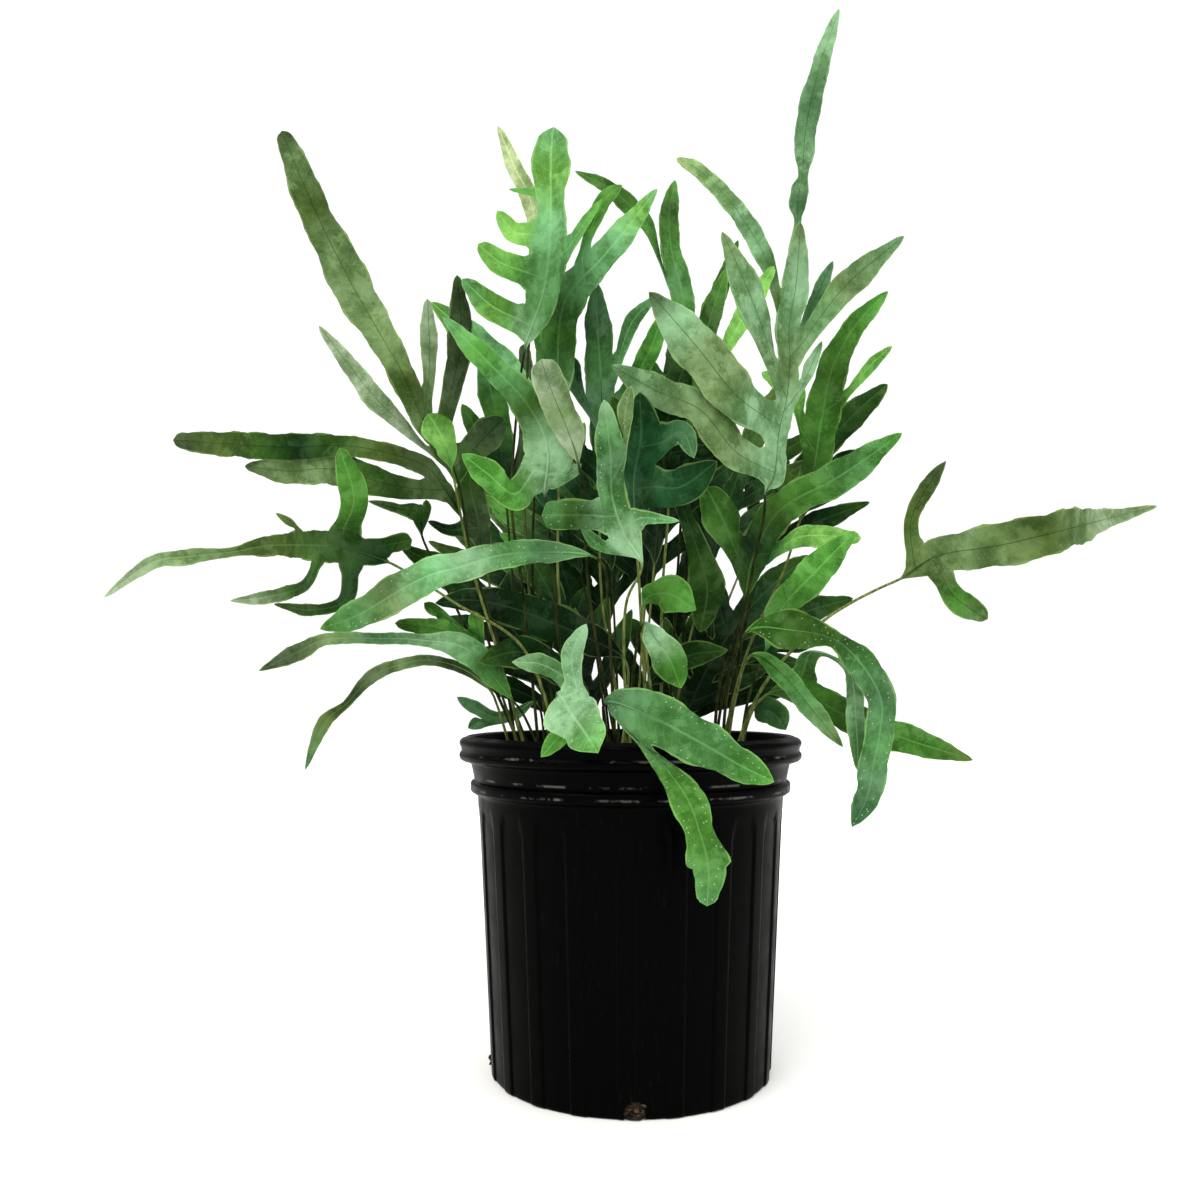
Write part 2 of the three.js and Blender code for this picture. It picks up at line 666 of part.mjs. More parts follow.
// A smooth line through spots of a chart, measured along its real length.
function smoothLine(chart, spots) {
  const knots = spots.map(([first, second, off = 0]) => new THREE.Vector3(first, second, off));
  const curve = new THREE.CatmullRomCurve3(knots, false, "centripetal");
  const flats = curve.getPoints(PER_SPAN * (spots.length - 1));
  const places = flats.map((flat) => chart.toSpace(flat));
  const lengths = [0];
  for (let index = 1; index < places.length; index += 1) {
    lengths.push(lengths[index - 1] + places[index].distanceTo(places[index - 1]));
  }
  const last = places.length - 1;
  const between = (values, far) => {
    let index = 0;
    while (index < last - 1 && far > lengths[index + 1]) index += 1;
    const part = (far - lengths[index]) / (lengths[index + 1] - lengths[index]);
    return values[index].clone().lerp(values[index + 1], THREE.MathUtils.clamp(part, 0, 1));
  };
  const slopes = (values) => values.map((value, index) => (
    values[Math.min(last, index + 1)].clone().sub(values[Math.max(0, index - 1)]).normalize()
  ));
  const [flatSlopes, placeSlopes] = [slopes(flats.map((flat) => flat.clone().setZ(0))), slopes(places)];
  return {
    length: lengths[last],
    knots: spots.map((spot, index) => lengths[index * PER_SPAN]),
    flat: (far) => between(flats, far),
    place: (far) => between(places, far),
    flatSlope: (far) => between(flatSlopes, far),
    heading: (far) => between(placeSlopes, far).normalize(),
  };
}

// A width that eases from one knot to the next.
function easedWidth(knots, widths, far) {
  let span = 0;
  while (span < knots.length - 2 && far > knots[span + 1]) span += 1;
  const part = THREE.MathUtils.clamp((far - knots[span]) / (knots[span + 1] - knots[span]), 0, 1);
  const width = widths[span] + (widths[span + 1] - widths[span]) * (0.5 - 0.5 * Math.cos(Math.PI * part));
  return Math.max(LEAST_TIP, width);
}

function wave(far, length, phase) {
  return Math.sin((2 * Math.PI * far) / length + phase);
}

// The right and left edge of a blade at a station, in the chart: the middle of the blade moved half
// a width to either side, with ragged edges that ripple off the layer.
function edgeSpots(chart, line, far, width, phase, stir) {
  const middle = line.flat(far);
  const slope = line.flatSlope(far);
  const half = (width / 2) * chart.scale(line.place(far)) * chart.hand;
  return [1, -1].map((side) => {
    const reach = side * half * (1 + RAGGED * wave(far, RAGGED_LENGTH, phase + side));
    const lift = stir * RIPPLE * Math.min(1, width / RIPPLE_WIDTH) * wave(far, RIPPLE_LENGTH, phase + side);
    return new THREE.Vector3(middle.x + slope.y * reach, middle.y - slope.x * reach, middle.z + lift);
  });
}

// A growing mesh of box sections, each with four corners: right and left above, left and right below.
class Shell {
  constructor() {
    this.points = [];
    this.faces = [];
  }

  // The section stands across a heading, thick to both sides of the line between its edges.
  addSection([right, left], heading, thickness) {
    const normal = right.clone().sub(left).cross(heading).normalize();
    const half = thickness / 2;
    const start = this.points.length;
    this.points.push(right.clone().addScaledVector(normal, half));
    this.points.push(left.clone().addScaledVector(normal, half));
    this.points.push(left.clone().addScaledVector(normal, -half));
    this.points.push(right.clone().addScaledVector(normal, -half));
    return [start, start + 1, start + 2, start + 3];
  }

  addFlats(near, far) {
    this.faces.push([near[0], far[0], far[1]], [near[0], far[1], near[1]]);
    this.faces.push([near[3], far[2], far[3]], [near[3], near[2], far[2]]);
  }

  addRightWall(near, far) {
    this.faces.push([near[0], near[3], far[3]], [near[0], far[3], far[0]]);
  }

  addLeftWall(near, far) {
    this.faces.push([near[1], far[2], near[2]], [near[1], far[1], far[2]]);
  }

  capStart(section) {
    this.faces.push([section[0], section[1], section[2]], [section[0], section[2], section[3]]);
  }

  capEnd(section) {
    this.faces.push([section[0], section[2], section[1]], [section[0], section[3], section[2]]);
  }

  geometry() {
    const geometry = new THREE.BufferGeometry();
    const flat = this.points.flatMap((point) => point.toArray());
    geometry.setAttribute("position", new THREE.Float32BufferAttribute(flat, 3));
    geometry.setIndex(this.faces.flat());
    geometry.computeVertexNormals();
    return geometry;
  }
}

// Distances along a blade's spine: close together as far as its last lobe, then wider apart.
function spineStations(start, end, lastLobe) {
  const wing = start + (end - start) * lastLobe + SPINE_STEP;
  const wingSteps = Math.max(2, Math.round((Math.min(wing, end) - start) / SPINE_STEP));
  const tipSteps = Math.max(2, Math.round((end - wing) / LOBE_STEP));
  const stations = [];
  for (let step = 0; step <= wingSteps; step += 1) {
    stations.push(start + ((Math.min(wing, end) - start) * step) / wingSteps);
  }
  for (let step = 1; step <= tipSteps && wing < end; step += 1) {
    stations.push(wing + ((end - wing) * step) / tipSteps);
  }
  return stations;
}

// The run of stations, on the right or left edge of the spine, from which a lobe grows.
function lobeRun(stations, centre, width, taken) {
  const last = stations.length - 2;
  const nearest = (far) => stations.reduce(
    (best, station, index) => (Math.abs(station - far) < Math.abs(stations[best] - far) ? index : best),
    0,
  );
  const from = THREE.MathUtils.clamp(nearest(centre - width / 2), Math.max(1, taken + 1), last - 1);
  const to = THREE.MathUtils.clamp(nearest(centre + width / 2), from + 1, last);
  return { from, to };
}

// The right or left rim of the spine's blade, as rows of how far it stands out from the middle line.
function spineRim(chart, line, base, knots, widths, side) {
  const rows = Math.ceil((line.length - base) / RIM_STEP);
  return Array.from({ length: rows + 1 }, (unused, row) => {
    const far = base + ((line.length - base) * row) / rows;
    const middle = line.flat(far);
    const slope = line.flatSlope(far);
    const outward = new THREE.Vector3(slope.y, -slope.x, 0).multiplyScalar(side * chart.hand);
    const reach = (easedWidth(knots, widths, far) / 2 + LOBE_CLEAR) * chart.scale(line.place(far));
    return { middle, outward, reach };
  });
}

// A lobe's spot, moved out to just beyond the rim of the spine's blade if it would lie on it.
function clearOf(rim, spot) {
  const apart = (row) => Math.hypot(spot.x - row.middle.x, spot.y - row.middle.y);
  const beside = rim.reduce((best, row) => (apart(row) < apart(best) ? row : best));
  const reach = spot.clone().sub(beside.middle).dot(beside.outward);
  return reach < beside.reach ? spot.clone().addScaledVector(beside.outward, beside.reach - reach) : spot;
}

// A lobe closed at its tip, growing out of a run of corners on the spine's edge.
function growLobe(shell, chart, upper, lower, lobe, phase, lift, rim) {
  const count = upper.length - 1;
  const near = [upper[0], upper[count], lower[count], lower[0]];
  const [rootRight, rootLeft] = [0, count].map((place) => (
    chart.fromSpace(shell.points[upper[place]].clone().lerp(shell.points[lower[place]], 0.5))
  ));
  const root = rootRight.clone().lerp(rootLeft, 0.5);
  const line = smoothLine(chart, [root.toArray(), ...lobe.path]);
  const steps = Math.max(2, Math.round(line.length / LOBE_STEP));
  let previous = null;
  for (let step = 1; step <= steps; step += 1) {
    const far = (line.length * step) / steps;
    const stir = THREE.MathUtils.smoothstep(far, LIFT_RUN, 2 * LIFT_RUN);
    const width = easedWidth(line.knots, lobe.widths, far);
    const grown = THREE.MathUtils.smoothstep(far, 0, Math.min(ROOT_RUN, ROOT_BLEND * line.length));
    const shift = line.flat(far).sub(root);
    const raise = lift * THREE.MathUtils.smoothstep(far, 0, LIFT_RUN);
    const edges = edgeSpots(chart, line, far, width, phase, stir).map((spot, side) => {
      const start = side === 0 ? rootRight : rootLeft;
      const settled = start.clone().add(shift).lerp(spot, grown);
      if (far < LIFT_RUN) settled.copy(clearOf(rim, settled));
      return chart.toSpace(settled.setZ(settled.z + raise));
    });
    const section = shell.addSection(edges, line.heading(far), BLADE);
    if (previous) {
      shell.addFlats(previous, section);
      shell.addRightWall(previous, section);
      shell.addLeftWall(previous, section);
    } else {
      shell.faces.push([upper[0], section[0], section[1]], [lower[0], section[2], section[3]]);
      for (let place = 0; place < count; place += 1) {
        shell.faces.push([upper[place], section[1], upper[place + 1]]);
        shell.faces.push([lower[place], lower[place + 1], section[2]]);
      }
      shell.addRightWall(near, section);
      shell.addLeftWall(near, section);
    }
    previous = section;
  }
  shell.capEnd(previous);
}

// The line of a whole frond, from its foot in the soil up the stipe and along the blade to its tip.
function frondLine(frond) {
  const chart = frond.rear ? planChart(frond.layer) : pictureChart(frond.layer);
  const foot = new THREE.Vector3(frond.root, layerDepth(frond.layer, frond.root, SOIL_LEVEL), SOIL_LEVEL);
  const deep = foot.clone().setZ(SOIL_LEVEL - STIPE_DEPTH);
  const rooted = [deep, foot].map((place) => chart.fromSpace(place).toArray());
  const line = smoothLine(chart, [...rooted, ...frond.stipe, ...frond.spine]);
  return { chart, line, base: line.knots[2 + frond.stipe.length] };
}

function stipeSection(shell, chart, line, far, width) {
  const edges = edgeSpots(chart, line, far, width, 0, 0).map((spot) => chart.toSpace(spot));
  const middle = edges[0].clone().lerp(edges[1], 0.5);
  const across = edges[0].clone().sub(edges[1]).normalize();
  const sides = [1, -1].map((side) => middle.clone().addScaledVector(across, (side * width) / 2));
  return shell.addSection(sides, line.heading(far), width);
}

function stipeStations(base) {
  const steps = Math.max(1, Math.round((base - STIPE_DEPTH) / STIPE_STEP));
  const stations = [0, STIPE_DEPTH];
  for (let step = 1; step < steps; step += 1) {
    stations.push(STIPE_DEPTH + ((base - STIPE_DEPTH) * step) / steps);
  }
  return stations;
}

function frondGeometry(frond, index) {
  const shell = new Shell();
  const phase = index * FROND_TURN;
  const { chart, line, base } = frondLine(frond);
  const bladeKnots = line.knots.slice(2 + frond.stipe.length);
  const bladeLength = line.length - base;
  const lastLobe = Math.max(0, ...frond.lobes.map((lobe) => lobe.at));
  const stations = spineStations(base, line.length, lastLobe);
  const free = frond.lobes.length > 0 ? base + bladeLength * lastLobe + LIFT_RUN : base;
  const stipe = stipeStations(base).map((far) => stipeSection(shell, chart, line, far, STIPE));
  const blade = stations.map((far) => {
    const width = easedWidth(bladeKnots, frond.widths, far);
    const stir = THREE.MathUtils.smoothstep(far, free, free + LIFT_RUN);
    const edges = edgeSpots(chart, line, far, width, phase, stir).map((spot) => chart.toSpace(spot));
    const thickness = Math.max(BLADE, STIPE * (1 - (far - base) / RIB_FADE));
    return shell.addSection(edges, line.heading(far), thickness);
  });
  const grown = new Set();
  const taken = { right: 0, left: 0 };
  const lifts = { right: LIFT, left: LIFT };
  const lobes = [...frond.lobes].sort((one, other) => one.at - other.at);
  lobes.forEach((lobe, order) => {
    const centre = base + bladeLength * lobe.at;
    const slope = line.flatSlope(centre);
    const [towards, aside] = lobe.path[0];
    const away = new THREE.Vector3(towards, aside, 0).sub(line.flat(centre));
    const onRight = (away.x * slope.y - away.y * slope.x) * chart.hand > 0;
    const side = onRight ? "right" : "left";
    const { from, to } = lobeRun(stations, centre, lobe.widths[0], taken[side]);
    taken[side] = to;
    const run = blade.slice(from, to + 1);
    const upper = run.map((section) => section[onRight ? 0 : 1]);
    const lower = run.map((section) => section[onRight ? 3 : 2]);
    if (!onRight) {
      upper.reverse();
      lower.reverse();
    }
    for (let place = from; place < to; place += 1) grown.add(`${side} ${place}`);
    const rim = spineRim(chart, line, base, bladeKnots, frond.widths, onRight ? 1 : -1);
    growLobe(shell, chart, upper, lower, lobe, phase + order, lobe.lift ?? lifts[side], rim);
    lifts[side] *= -1;
  });
  const sections = [...stipe, ...blade];
  shell.capStart(sections[0]);
  for (let place = 0; place < sections.length - 1; place += 1) {
    const [near, far] = [sections[place], sections[place + 1]];
    const bladePlace = place - stipe.length;
    shell.addFlats(near, far);
    if (!grown.has(`right ${bladePlace}`)) shell.addRightWall(near, far);
    if (!grown.has(`left ${bladePlace}`)) shell.addLeftWall(near, far);
  }
  shell.capEnd(sections[sections.length - 1]);
  return shell.geometry();
}

// Solids are closed meshes with shared corners, which can be joined and cut.
function toSolid(geometry) {
  const bare = geometry.clone();
  bare.deleteAttribute("normal");
  bare.deleteAttribute("uv");
  const merged = mergeVertices(bare, 1e-4);
  return new wasm.Manifold(new wasm.Mesh({
    numProp: 3,
    vertProperties: new Float32Array(merged.attributes.position.array),
    triVerts: new Uint32Array(merged.index.array),
  }));
}

function toGeometry(solid) {
  const mesh = solid.getMesh();
  const geometry = new THREE.BufferGeometry();
  geometry.setAttribute("position", new THREE.BufferAttribute(new Float32Array(mesh.vertProperties), 3));
  geometry.setIndex(new THREE.BufferAttribute(new Uint32Array(mesh.triVerts), 1));
  geometry.computeVertexNormals();
  return geometry;
}

// Outside radius of the plain tapering wall at a height.
function wallRadius(z) {
  return FOOT_RADIUS + ((WALL_TOP_RADIUS - FOOT_RADIUS) * z) / BEAD_LEVEL;
}

// The pot's section, from the middle of its foot up the outside, over the rim and down the inside.
// A point's third value says how much of the flutes' depth is cut there.
function potProfile() {
  const bead = BEAD_BAND / 2;
  const rimFoot = POT_HEIGHT - RIM_BAND;
  const inside = (z) => wallRadius(z) - WALL;
  return [
    [0, 0, 0],
    [FOOT_RADIUS - FOOT_ROUND, 0, 1],
    [wallRadius(FOOT_ROUND), FOOT_ROUND, 1],
    [wallRadius(FLUTE_TOP - FLUTE_RUNOUT), FLUTE_TOP - FLUTE_RUNOUT, 1],
    [wallRadius(FLUTE_TOP), FLUTE_TOP, 0],
    [WALL_TOP_RADIUS, BEAD_LEVEL - bead, 0],
    [BEAD_RADIUS, BEAD_LEVEL - bead * 0.6, 0],
    [BEAD_RADIUS, BEAD_LEVEL + bead * 0.6, 0],
    [NECK_RADIUS - 2 * RIM_BULGE, BEAD_LEVEL + bead, 0],
    [NECK_RADIUS, rimFoot - 2 * RIM_BULGE, 0],
    [RIM_RADIUS - RIM_BULGE, rimFoot, 0],
    [RIM_RADIUS, rimFoot + RIM_BAND * 0.3, 0],
    [RIM_RADIUS - RIM_BULGE, rimFoot + RIM_BAND * 0.5, 0],
    [RIM_RADIUS, rimFoot + RIM_BAND * 0.7, 0],
    [RIM_RADIUS - 2 * RIM_BULGE, POT_HEIGHT, 0],
    [NECK_RADIUS - WALL, POT_HEIGHT - RIM_BULGE, 0],
    [inside(BEAD_LEVEL), BEAD_LEVEL - bead, 0],
    [inside(FLOOR), FLOOR, 0],
    [0, FLOOR, 0],
  ];
}

function potColumns() {
  const columns = [];
  const pitch = (2 * Math.PI) / FLUTES;
  for (let flute = 0; flute < FLUTES; flute += 1) {
    const centre = flute * pitch + FLUTE_OFFSET;
    columns.push([centre - FLUTE_ANGLE / 2, 0], [centre - FLUTE_ANGLE / 3, 1]);
    columns.push([centre + FLUTE_ANGLE / 3, 1], [centre + FLUTE_ANGLE / 2, 0]);
  }
  return columns;
}

function potShell() {
  const columns = potColumns();
  const profile = potProfile();
  const points = [];
  const faces = [];
  const rings = profile.map(([radius, z, cut]) => {
    if (radius === 0) {
      points.push(new THREE.Vector3(0, 0, z));
      return [points.length - 1];
    }
    return columns.map(([angle, fluted]) => {
      const reach = radius - FLUTE_DEPTH * cut * fluted;
      points.push(new THREE.Vector3(reach * Math.sin(angle), -reach * Math.cos(angle), z));
      return points.length - 1;
    });
  });
  for (let ring = 0; ring < rings.length - 1; ring += 1) {
    const [low, high] = [rings[ring], rings[ring + 1]];
    for (let column = 0; column < columns.length; column += 1) {
      const next = (column + 1) % columns.length;
      if (low.length > 1) faces.push([low[column], low[next], high[high.length > 1 ? next : 0]]);
      if (high.length > 1) faces.push([low[low.length > 1 ? column : 0], high[next], high[column]]);
    }
  }
  const geometry = new THREE.BufferGeometry();
  const flat = points.flatMap((point) => point.toArray());
  geometry.setAttribute("position", new THREE.Float32BufferAttribute(flat, 3));
  geometry.setIndex(faces.flat());
  return geometry;
}

// An arched notch through the foot of the wall.
function drainNotch(angle) {
  const half = DRAIN_WIDTH / 2;
  const outline = new THREE.Shape();
  outline.moveTo(-half, -1);
  outline.lineTo(half, -1);
  outline.lineTo(half, DRAIN_HEIGHT - half);
  outline.absarc(0, DRAIN_HEIGHT - half, half, 0, Math.PI, false);
  outline.closePath();
  const shape = { depth: DRAIN_DEPTH, bevelEnabled: false, curveSegments: 8 };
  const notch = new THREE.ExtrudeGeometry(outline, shape);
  notch.rotateX(Math.PI / 2);
  notch.translate(0, DRAIN_DEPTH * 0.6 - FOOT_RADIUS, 0);
  notch.rotateZ(angle);
  return toSolid(notch);
}

function potGeometry() {
  let pot = toSolid(potShell());
  for (let hole = 0; hole < DRAIN_HOLES; hole += 1) {
    pot = pot.subtract(drainNotch((hole * 2 * Math.PI) / DRAIN_HOLES));
  }
  return toGeometry(pot);
}

// Height of the soil's lumps over its level.
function soilLump(x, y) {
  return SOIL_LUMPS.reduce((sum, lump) => (
    sum + lump.rise * Math.sin(x * lump.along + 1) * Math.cos(y * lump.across)
  ), 0);
}

// The soil fills the pot, and its top is lumpy.
function soilBody() {
  const bottom = FLOOR + GAP;
  const shoulder = BEAD_LEVEL - BEAD_BAND / 2;
  const inside = (z) => wallRadius(z) - WALL - GAP;
  const edge = inside(shoulder) - GAP;
  const profile = [new THREE.Vector2(0, bottom), new THREE.Vector2(inside(bottom), bottom)];
  profile.push(new THREE.Vector2(edge, shoulder));
  for (let ring = SOIL_RINGS; ring >= 0; ring -= 1) {
    profile.push(new THREE.Vector2((edge * ring) / SOIL_RINGS, SOIL_LEVEL));
  }
  const soil = new THREE.LatheGeometry(profile, SOIL_SIDES);
  soil.rotateX(Math.PI / 2);
  soil.deleteAttribute("normal");
  soil.deleteAttribute("uv");
  const merged = mergeVertices(soil, 1e-3);
  const place = merged.attributes.position;
  for (let index = 0; index < place.count; index += 1) {
    const [x, y, z] = [place.getX(index), place.getY(index), place.getZ(index)];
    if (z > shoulder + 1) place.setZ(index, z + soilLump(x, y));
  }
  return toSolid(merged);
}

// A plain hole for a stipe, a gap wider than it all round, open above the soil.
function stipeHole(frond) {
  const { chart, line, base } = frondLine(frond);
  const shell = new Shell();
  const width = STIPE + 2 * GAP;
  const stations = [...stipeStations(base), base].slice(0, 3);
  const sections = stations.map((far) => stipeSection(shell, chart, line, far, width));
  for (const corner of sections[0]) shell.points[corner].z -= GAP;
  shell.capStart(sections[0]);
  for (let place = 0; place < sections.length - 1; place += 1) {
    shell.addFlats(sections[place], sections[place + 1]);
    shell.addRightWall(sections[place], sections[place + 1]);
    shell.addLeftWall(sections[place], sections[place + 1]);
  }
  shell.capEnd(sections[sections.length - 1]);
  return toSolid(shell.geometry());
}

function soilGeometry(fronds) {
  let soil = soilBody();
  for (const frond of fronds) soil = soil.subtract(stipeHole(frond));
  return toGeometry(soil);
}

function addPiece(group, name, geometry, color, roughness) {
  const material = new THREE.MeshStandardMaterial({ color, roughness, metalness: 0 });
  const piece = new THREE.Mesh(geometry, material);
  piece.name = name;
  group.add(piece);
}

const fronds = allFronds();
const plant = new THREE.Group();
addPiece(plant, "pot", potGeometry(), 0x101110, 0.5);
addPiece(plant, "soil", soilGeometry(fronds), 0x1c1713, 0.95);
fronds.forEach((frond, index) => {
  addPiece(plant, frond.name, frondGeometry(frond, index), frond.tone, 0.6);
});

export default plant;
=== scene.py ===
import math

import bpy
import numpy as np
from bpy.props import FloatProperty, FloatVectorProperty, IntProperty, PointerProperty
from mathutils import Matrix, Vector


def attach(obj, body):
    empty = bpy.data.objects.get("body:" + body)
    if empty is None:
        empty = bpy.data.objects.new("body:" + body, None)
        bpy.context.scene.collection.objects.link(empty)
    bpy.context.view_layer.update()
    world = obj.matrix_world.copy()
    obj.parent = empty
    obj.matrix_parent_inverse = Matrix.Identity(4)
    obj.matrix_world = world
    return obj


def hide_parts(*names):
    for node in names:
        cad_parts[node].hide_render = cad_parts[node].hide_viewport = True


bl_info = {
    "name": "Potted Blue Star Fern",
    "version": (1, 0, 0),
    "blender": (4, 5, 0),
    "location": "View3D > Sidebar > Fern",
    "description": "Builds a blue star fern in a nursery pot, one operator for each group",
    "category": "Add Mesh",
}

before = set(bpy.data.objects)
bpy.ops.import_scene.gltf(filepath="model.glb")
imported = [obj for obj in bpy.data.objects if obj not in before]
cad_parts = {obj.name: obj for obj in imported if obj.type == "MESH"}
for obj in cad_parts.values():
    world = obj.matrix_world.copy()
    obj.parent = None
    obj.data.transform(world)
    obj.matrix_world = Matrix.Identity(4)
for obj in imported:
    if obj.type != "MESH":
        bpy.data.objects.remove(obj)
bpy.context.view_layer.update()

MM = 0.001
SEED = 5

# Pot
POT_HEIGHT = 242.0
RIM_RADIUS = 127.0
NECK_RADIUS = 119.0
BEAD_RADIUS = 118.5
WALL_TOP_RADIUS = 113.5
FOOT_RADIUS = 102.0
WALL = 2.2
FLOOR = 3.0
BEAD_LEVEL = 205.0
# Heights of the crests along which pale grey lines are painted as highlights.
POT_HIGHLIGHT_LEVELS = (204.5, 212.5, 230.0)
POT_SHARP = math.radians(38)
FLUTES = 20
FLUTE_OFFSET = math.radians(6)
FLUTE_ANGLE = math.radians(12.5)
FLUTE_DEPTH = 1.2
FLUTE_TOP = 190.0
FLUTE_EDGE = 1.6
DRAIN_HOLES = 4
DRAIN_WIDTH = 14.0
DRAIN_HEIGHT = 12.0

# Soil. A lump's wave has its height and how fast it turns to the right and to the back.
SOIL_LEVEL = 217.0
SOIL_SHOULDER = 198.5
SOIL_PLAY = 0.3
SOIL_COLUMNS = 300
SOIL_LUMPS = [(1.5, 0.13, 0.17), (0.9, 0.31, -0.27)]
CRUMB_REACH = 108.0
CRUMB_SIDES = 8
CRUMB_RINGS = 5
SIFTED_CRUMBS = 96

# Fronds
STIPE_DEPTH = 14.0
STIPE_SIDES = 8
STIPE_RUN = 46.0
FROND_TURN = 2.4
DRAW_TURN = 0.37
PER_SPAN = 36
SIGHT_ROUNDS = 30
HALF_COLUMNS = 6
LOBE_FLARE = 3.0
BLADE_TIP = 7.0
LOBE_TIP = 6.0
ROOT_BLEND = 0.7
ROOT_RUN = 75.0
LIFT = 4.0
LIFT_RUN = 26.0
NO_BRANCH = 40.0

# Waves along a blade: their share of its width for the swells and their height for the ripples,
# then their length, and how much of the frond's phase they start at. The nicks have one height.
SWELLS = [(0.055, 31.0, 1.0), (0.05, 71.0, 1.9)]
NICK = 0.3
NICKS = [(9.7, 2.1), (43.0, 1.0)]
RIPPLES = [(1.5, 47.0, 0.0), (0.8, 21.0, 0.7)]

# Relief across a blade: heights and how far from the rib they spread, and the most that edges bend.
GROOVE = (0.7, 1.8)
SPINE_RIB = (0.75, 1.1)
LOBE_RIB = (0.6, 1.0)
CAMBER = 0.10

# A leaf's markings, with lengths in metres. A fade has where it starts and where it ends, and the
# rib's shares of the width are those of the upper side and of the underside.
VEIN_SLANT = 0.75
VEIN_PITCH = 0.0031
VEIN_FADE = (0.0001, 0.0006)
NET_CELLS = 560.0
NET_FADE = (0.02, 0.16)
RIB_SHARES = (0.045, 0.012)
RIB_LEAST = 0.00024
FORK_FADE = (0.0002, 0.0008)
MARGIN_FADE = (0.0002, 0.0009)
DOT_CELLS = 235.0
DOT_FADE = (0.05, 0.11)
DOT_BAND = [(0.0012, 0.0018), (0.0048, 0.0066)]
GLOW = 0.14

# The crown is built up of curved layers, one behind another, from -1 at its front to 1 at its back.
CROWN_DEPTH = 88.0
CROWN_SPREAD = 0.42
CROWN_REACH = 430.0
CROWN_ROUND = 0.75

# All the layers sway to and fro together, more with height: reach, length across, length up, start.
SWAY_RISE = 190.0
SWAYS = [(32.0, 235.0, 950.0, 0.9), (10.0, 118.0, -420.0, 2.1)]

# A place on a layer is given by where it is seen from the front, on a square picture.
PICTURE = 1200.0
FOCAL = 1097.0
EYE = np.array([-22.4, -830.0, 277.5])
EYE_TILT = 0.0795
SENSOR = 36.0
NEAREST = 0.01

# Stage
FLOOR_REACH = 6.0
FLOOR_DROP = 0.0002


def numbers(text):
    """Numbers written with a space between two of them."""
    return [float(part) for part in text.split()]


def spots(text):
    """Spots written as across,down or across,down,off, with a space between two of them."""
    return [tuple(float(part) for part in spot.split(",")) for spot in text.split()]


def lobe(at, path, widths, tints, lift=None):
    """A row of the table for a lobe. Without a lift of its own it leans to front or back."""
    return dict(at=at, path=spots(path), widths=numbers(widths), tints=tints, lift=lift)


def frond(name, tone, layer, root, stipe, spine, widths, tints, *lobes, underside=False,
          dotted=False):
    """A row of the table for a frond that is seen from the front."""
    return dict(
        name=f"frond_{name}", tone=tone, rear=False, layer=layer, root=root, stipe=spots(stipe),
        spine=spots(spine), widths=numbers(widths), tints=tints, lobes=lobes, underside=underside,
        dotted=dotted)


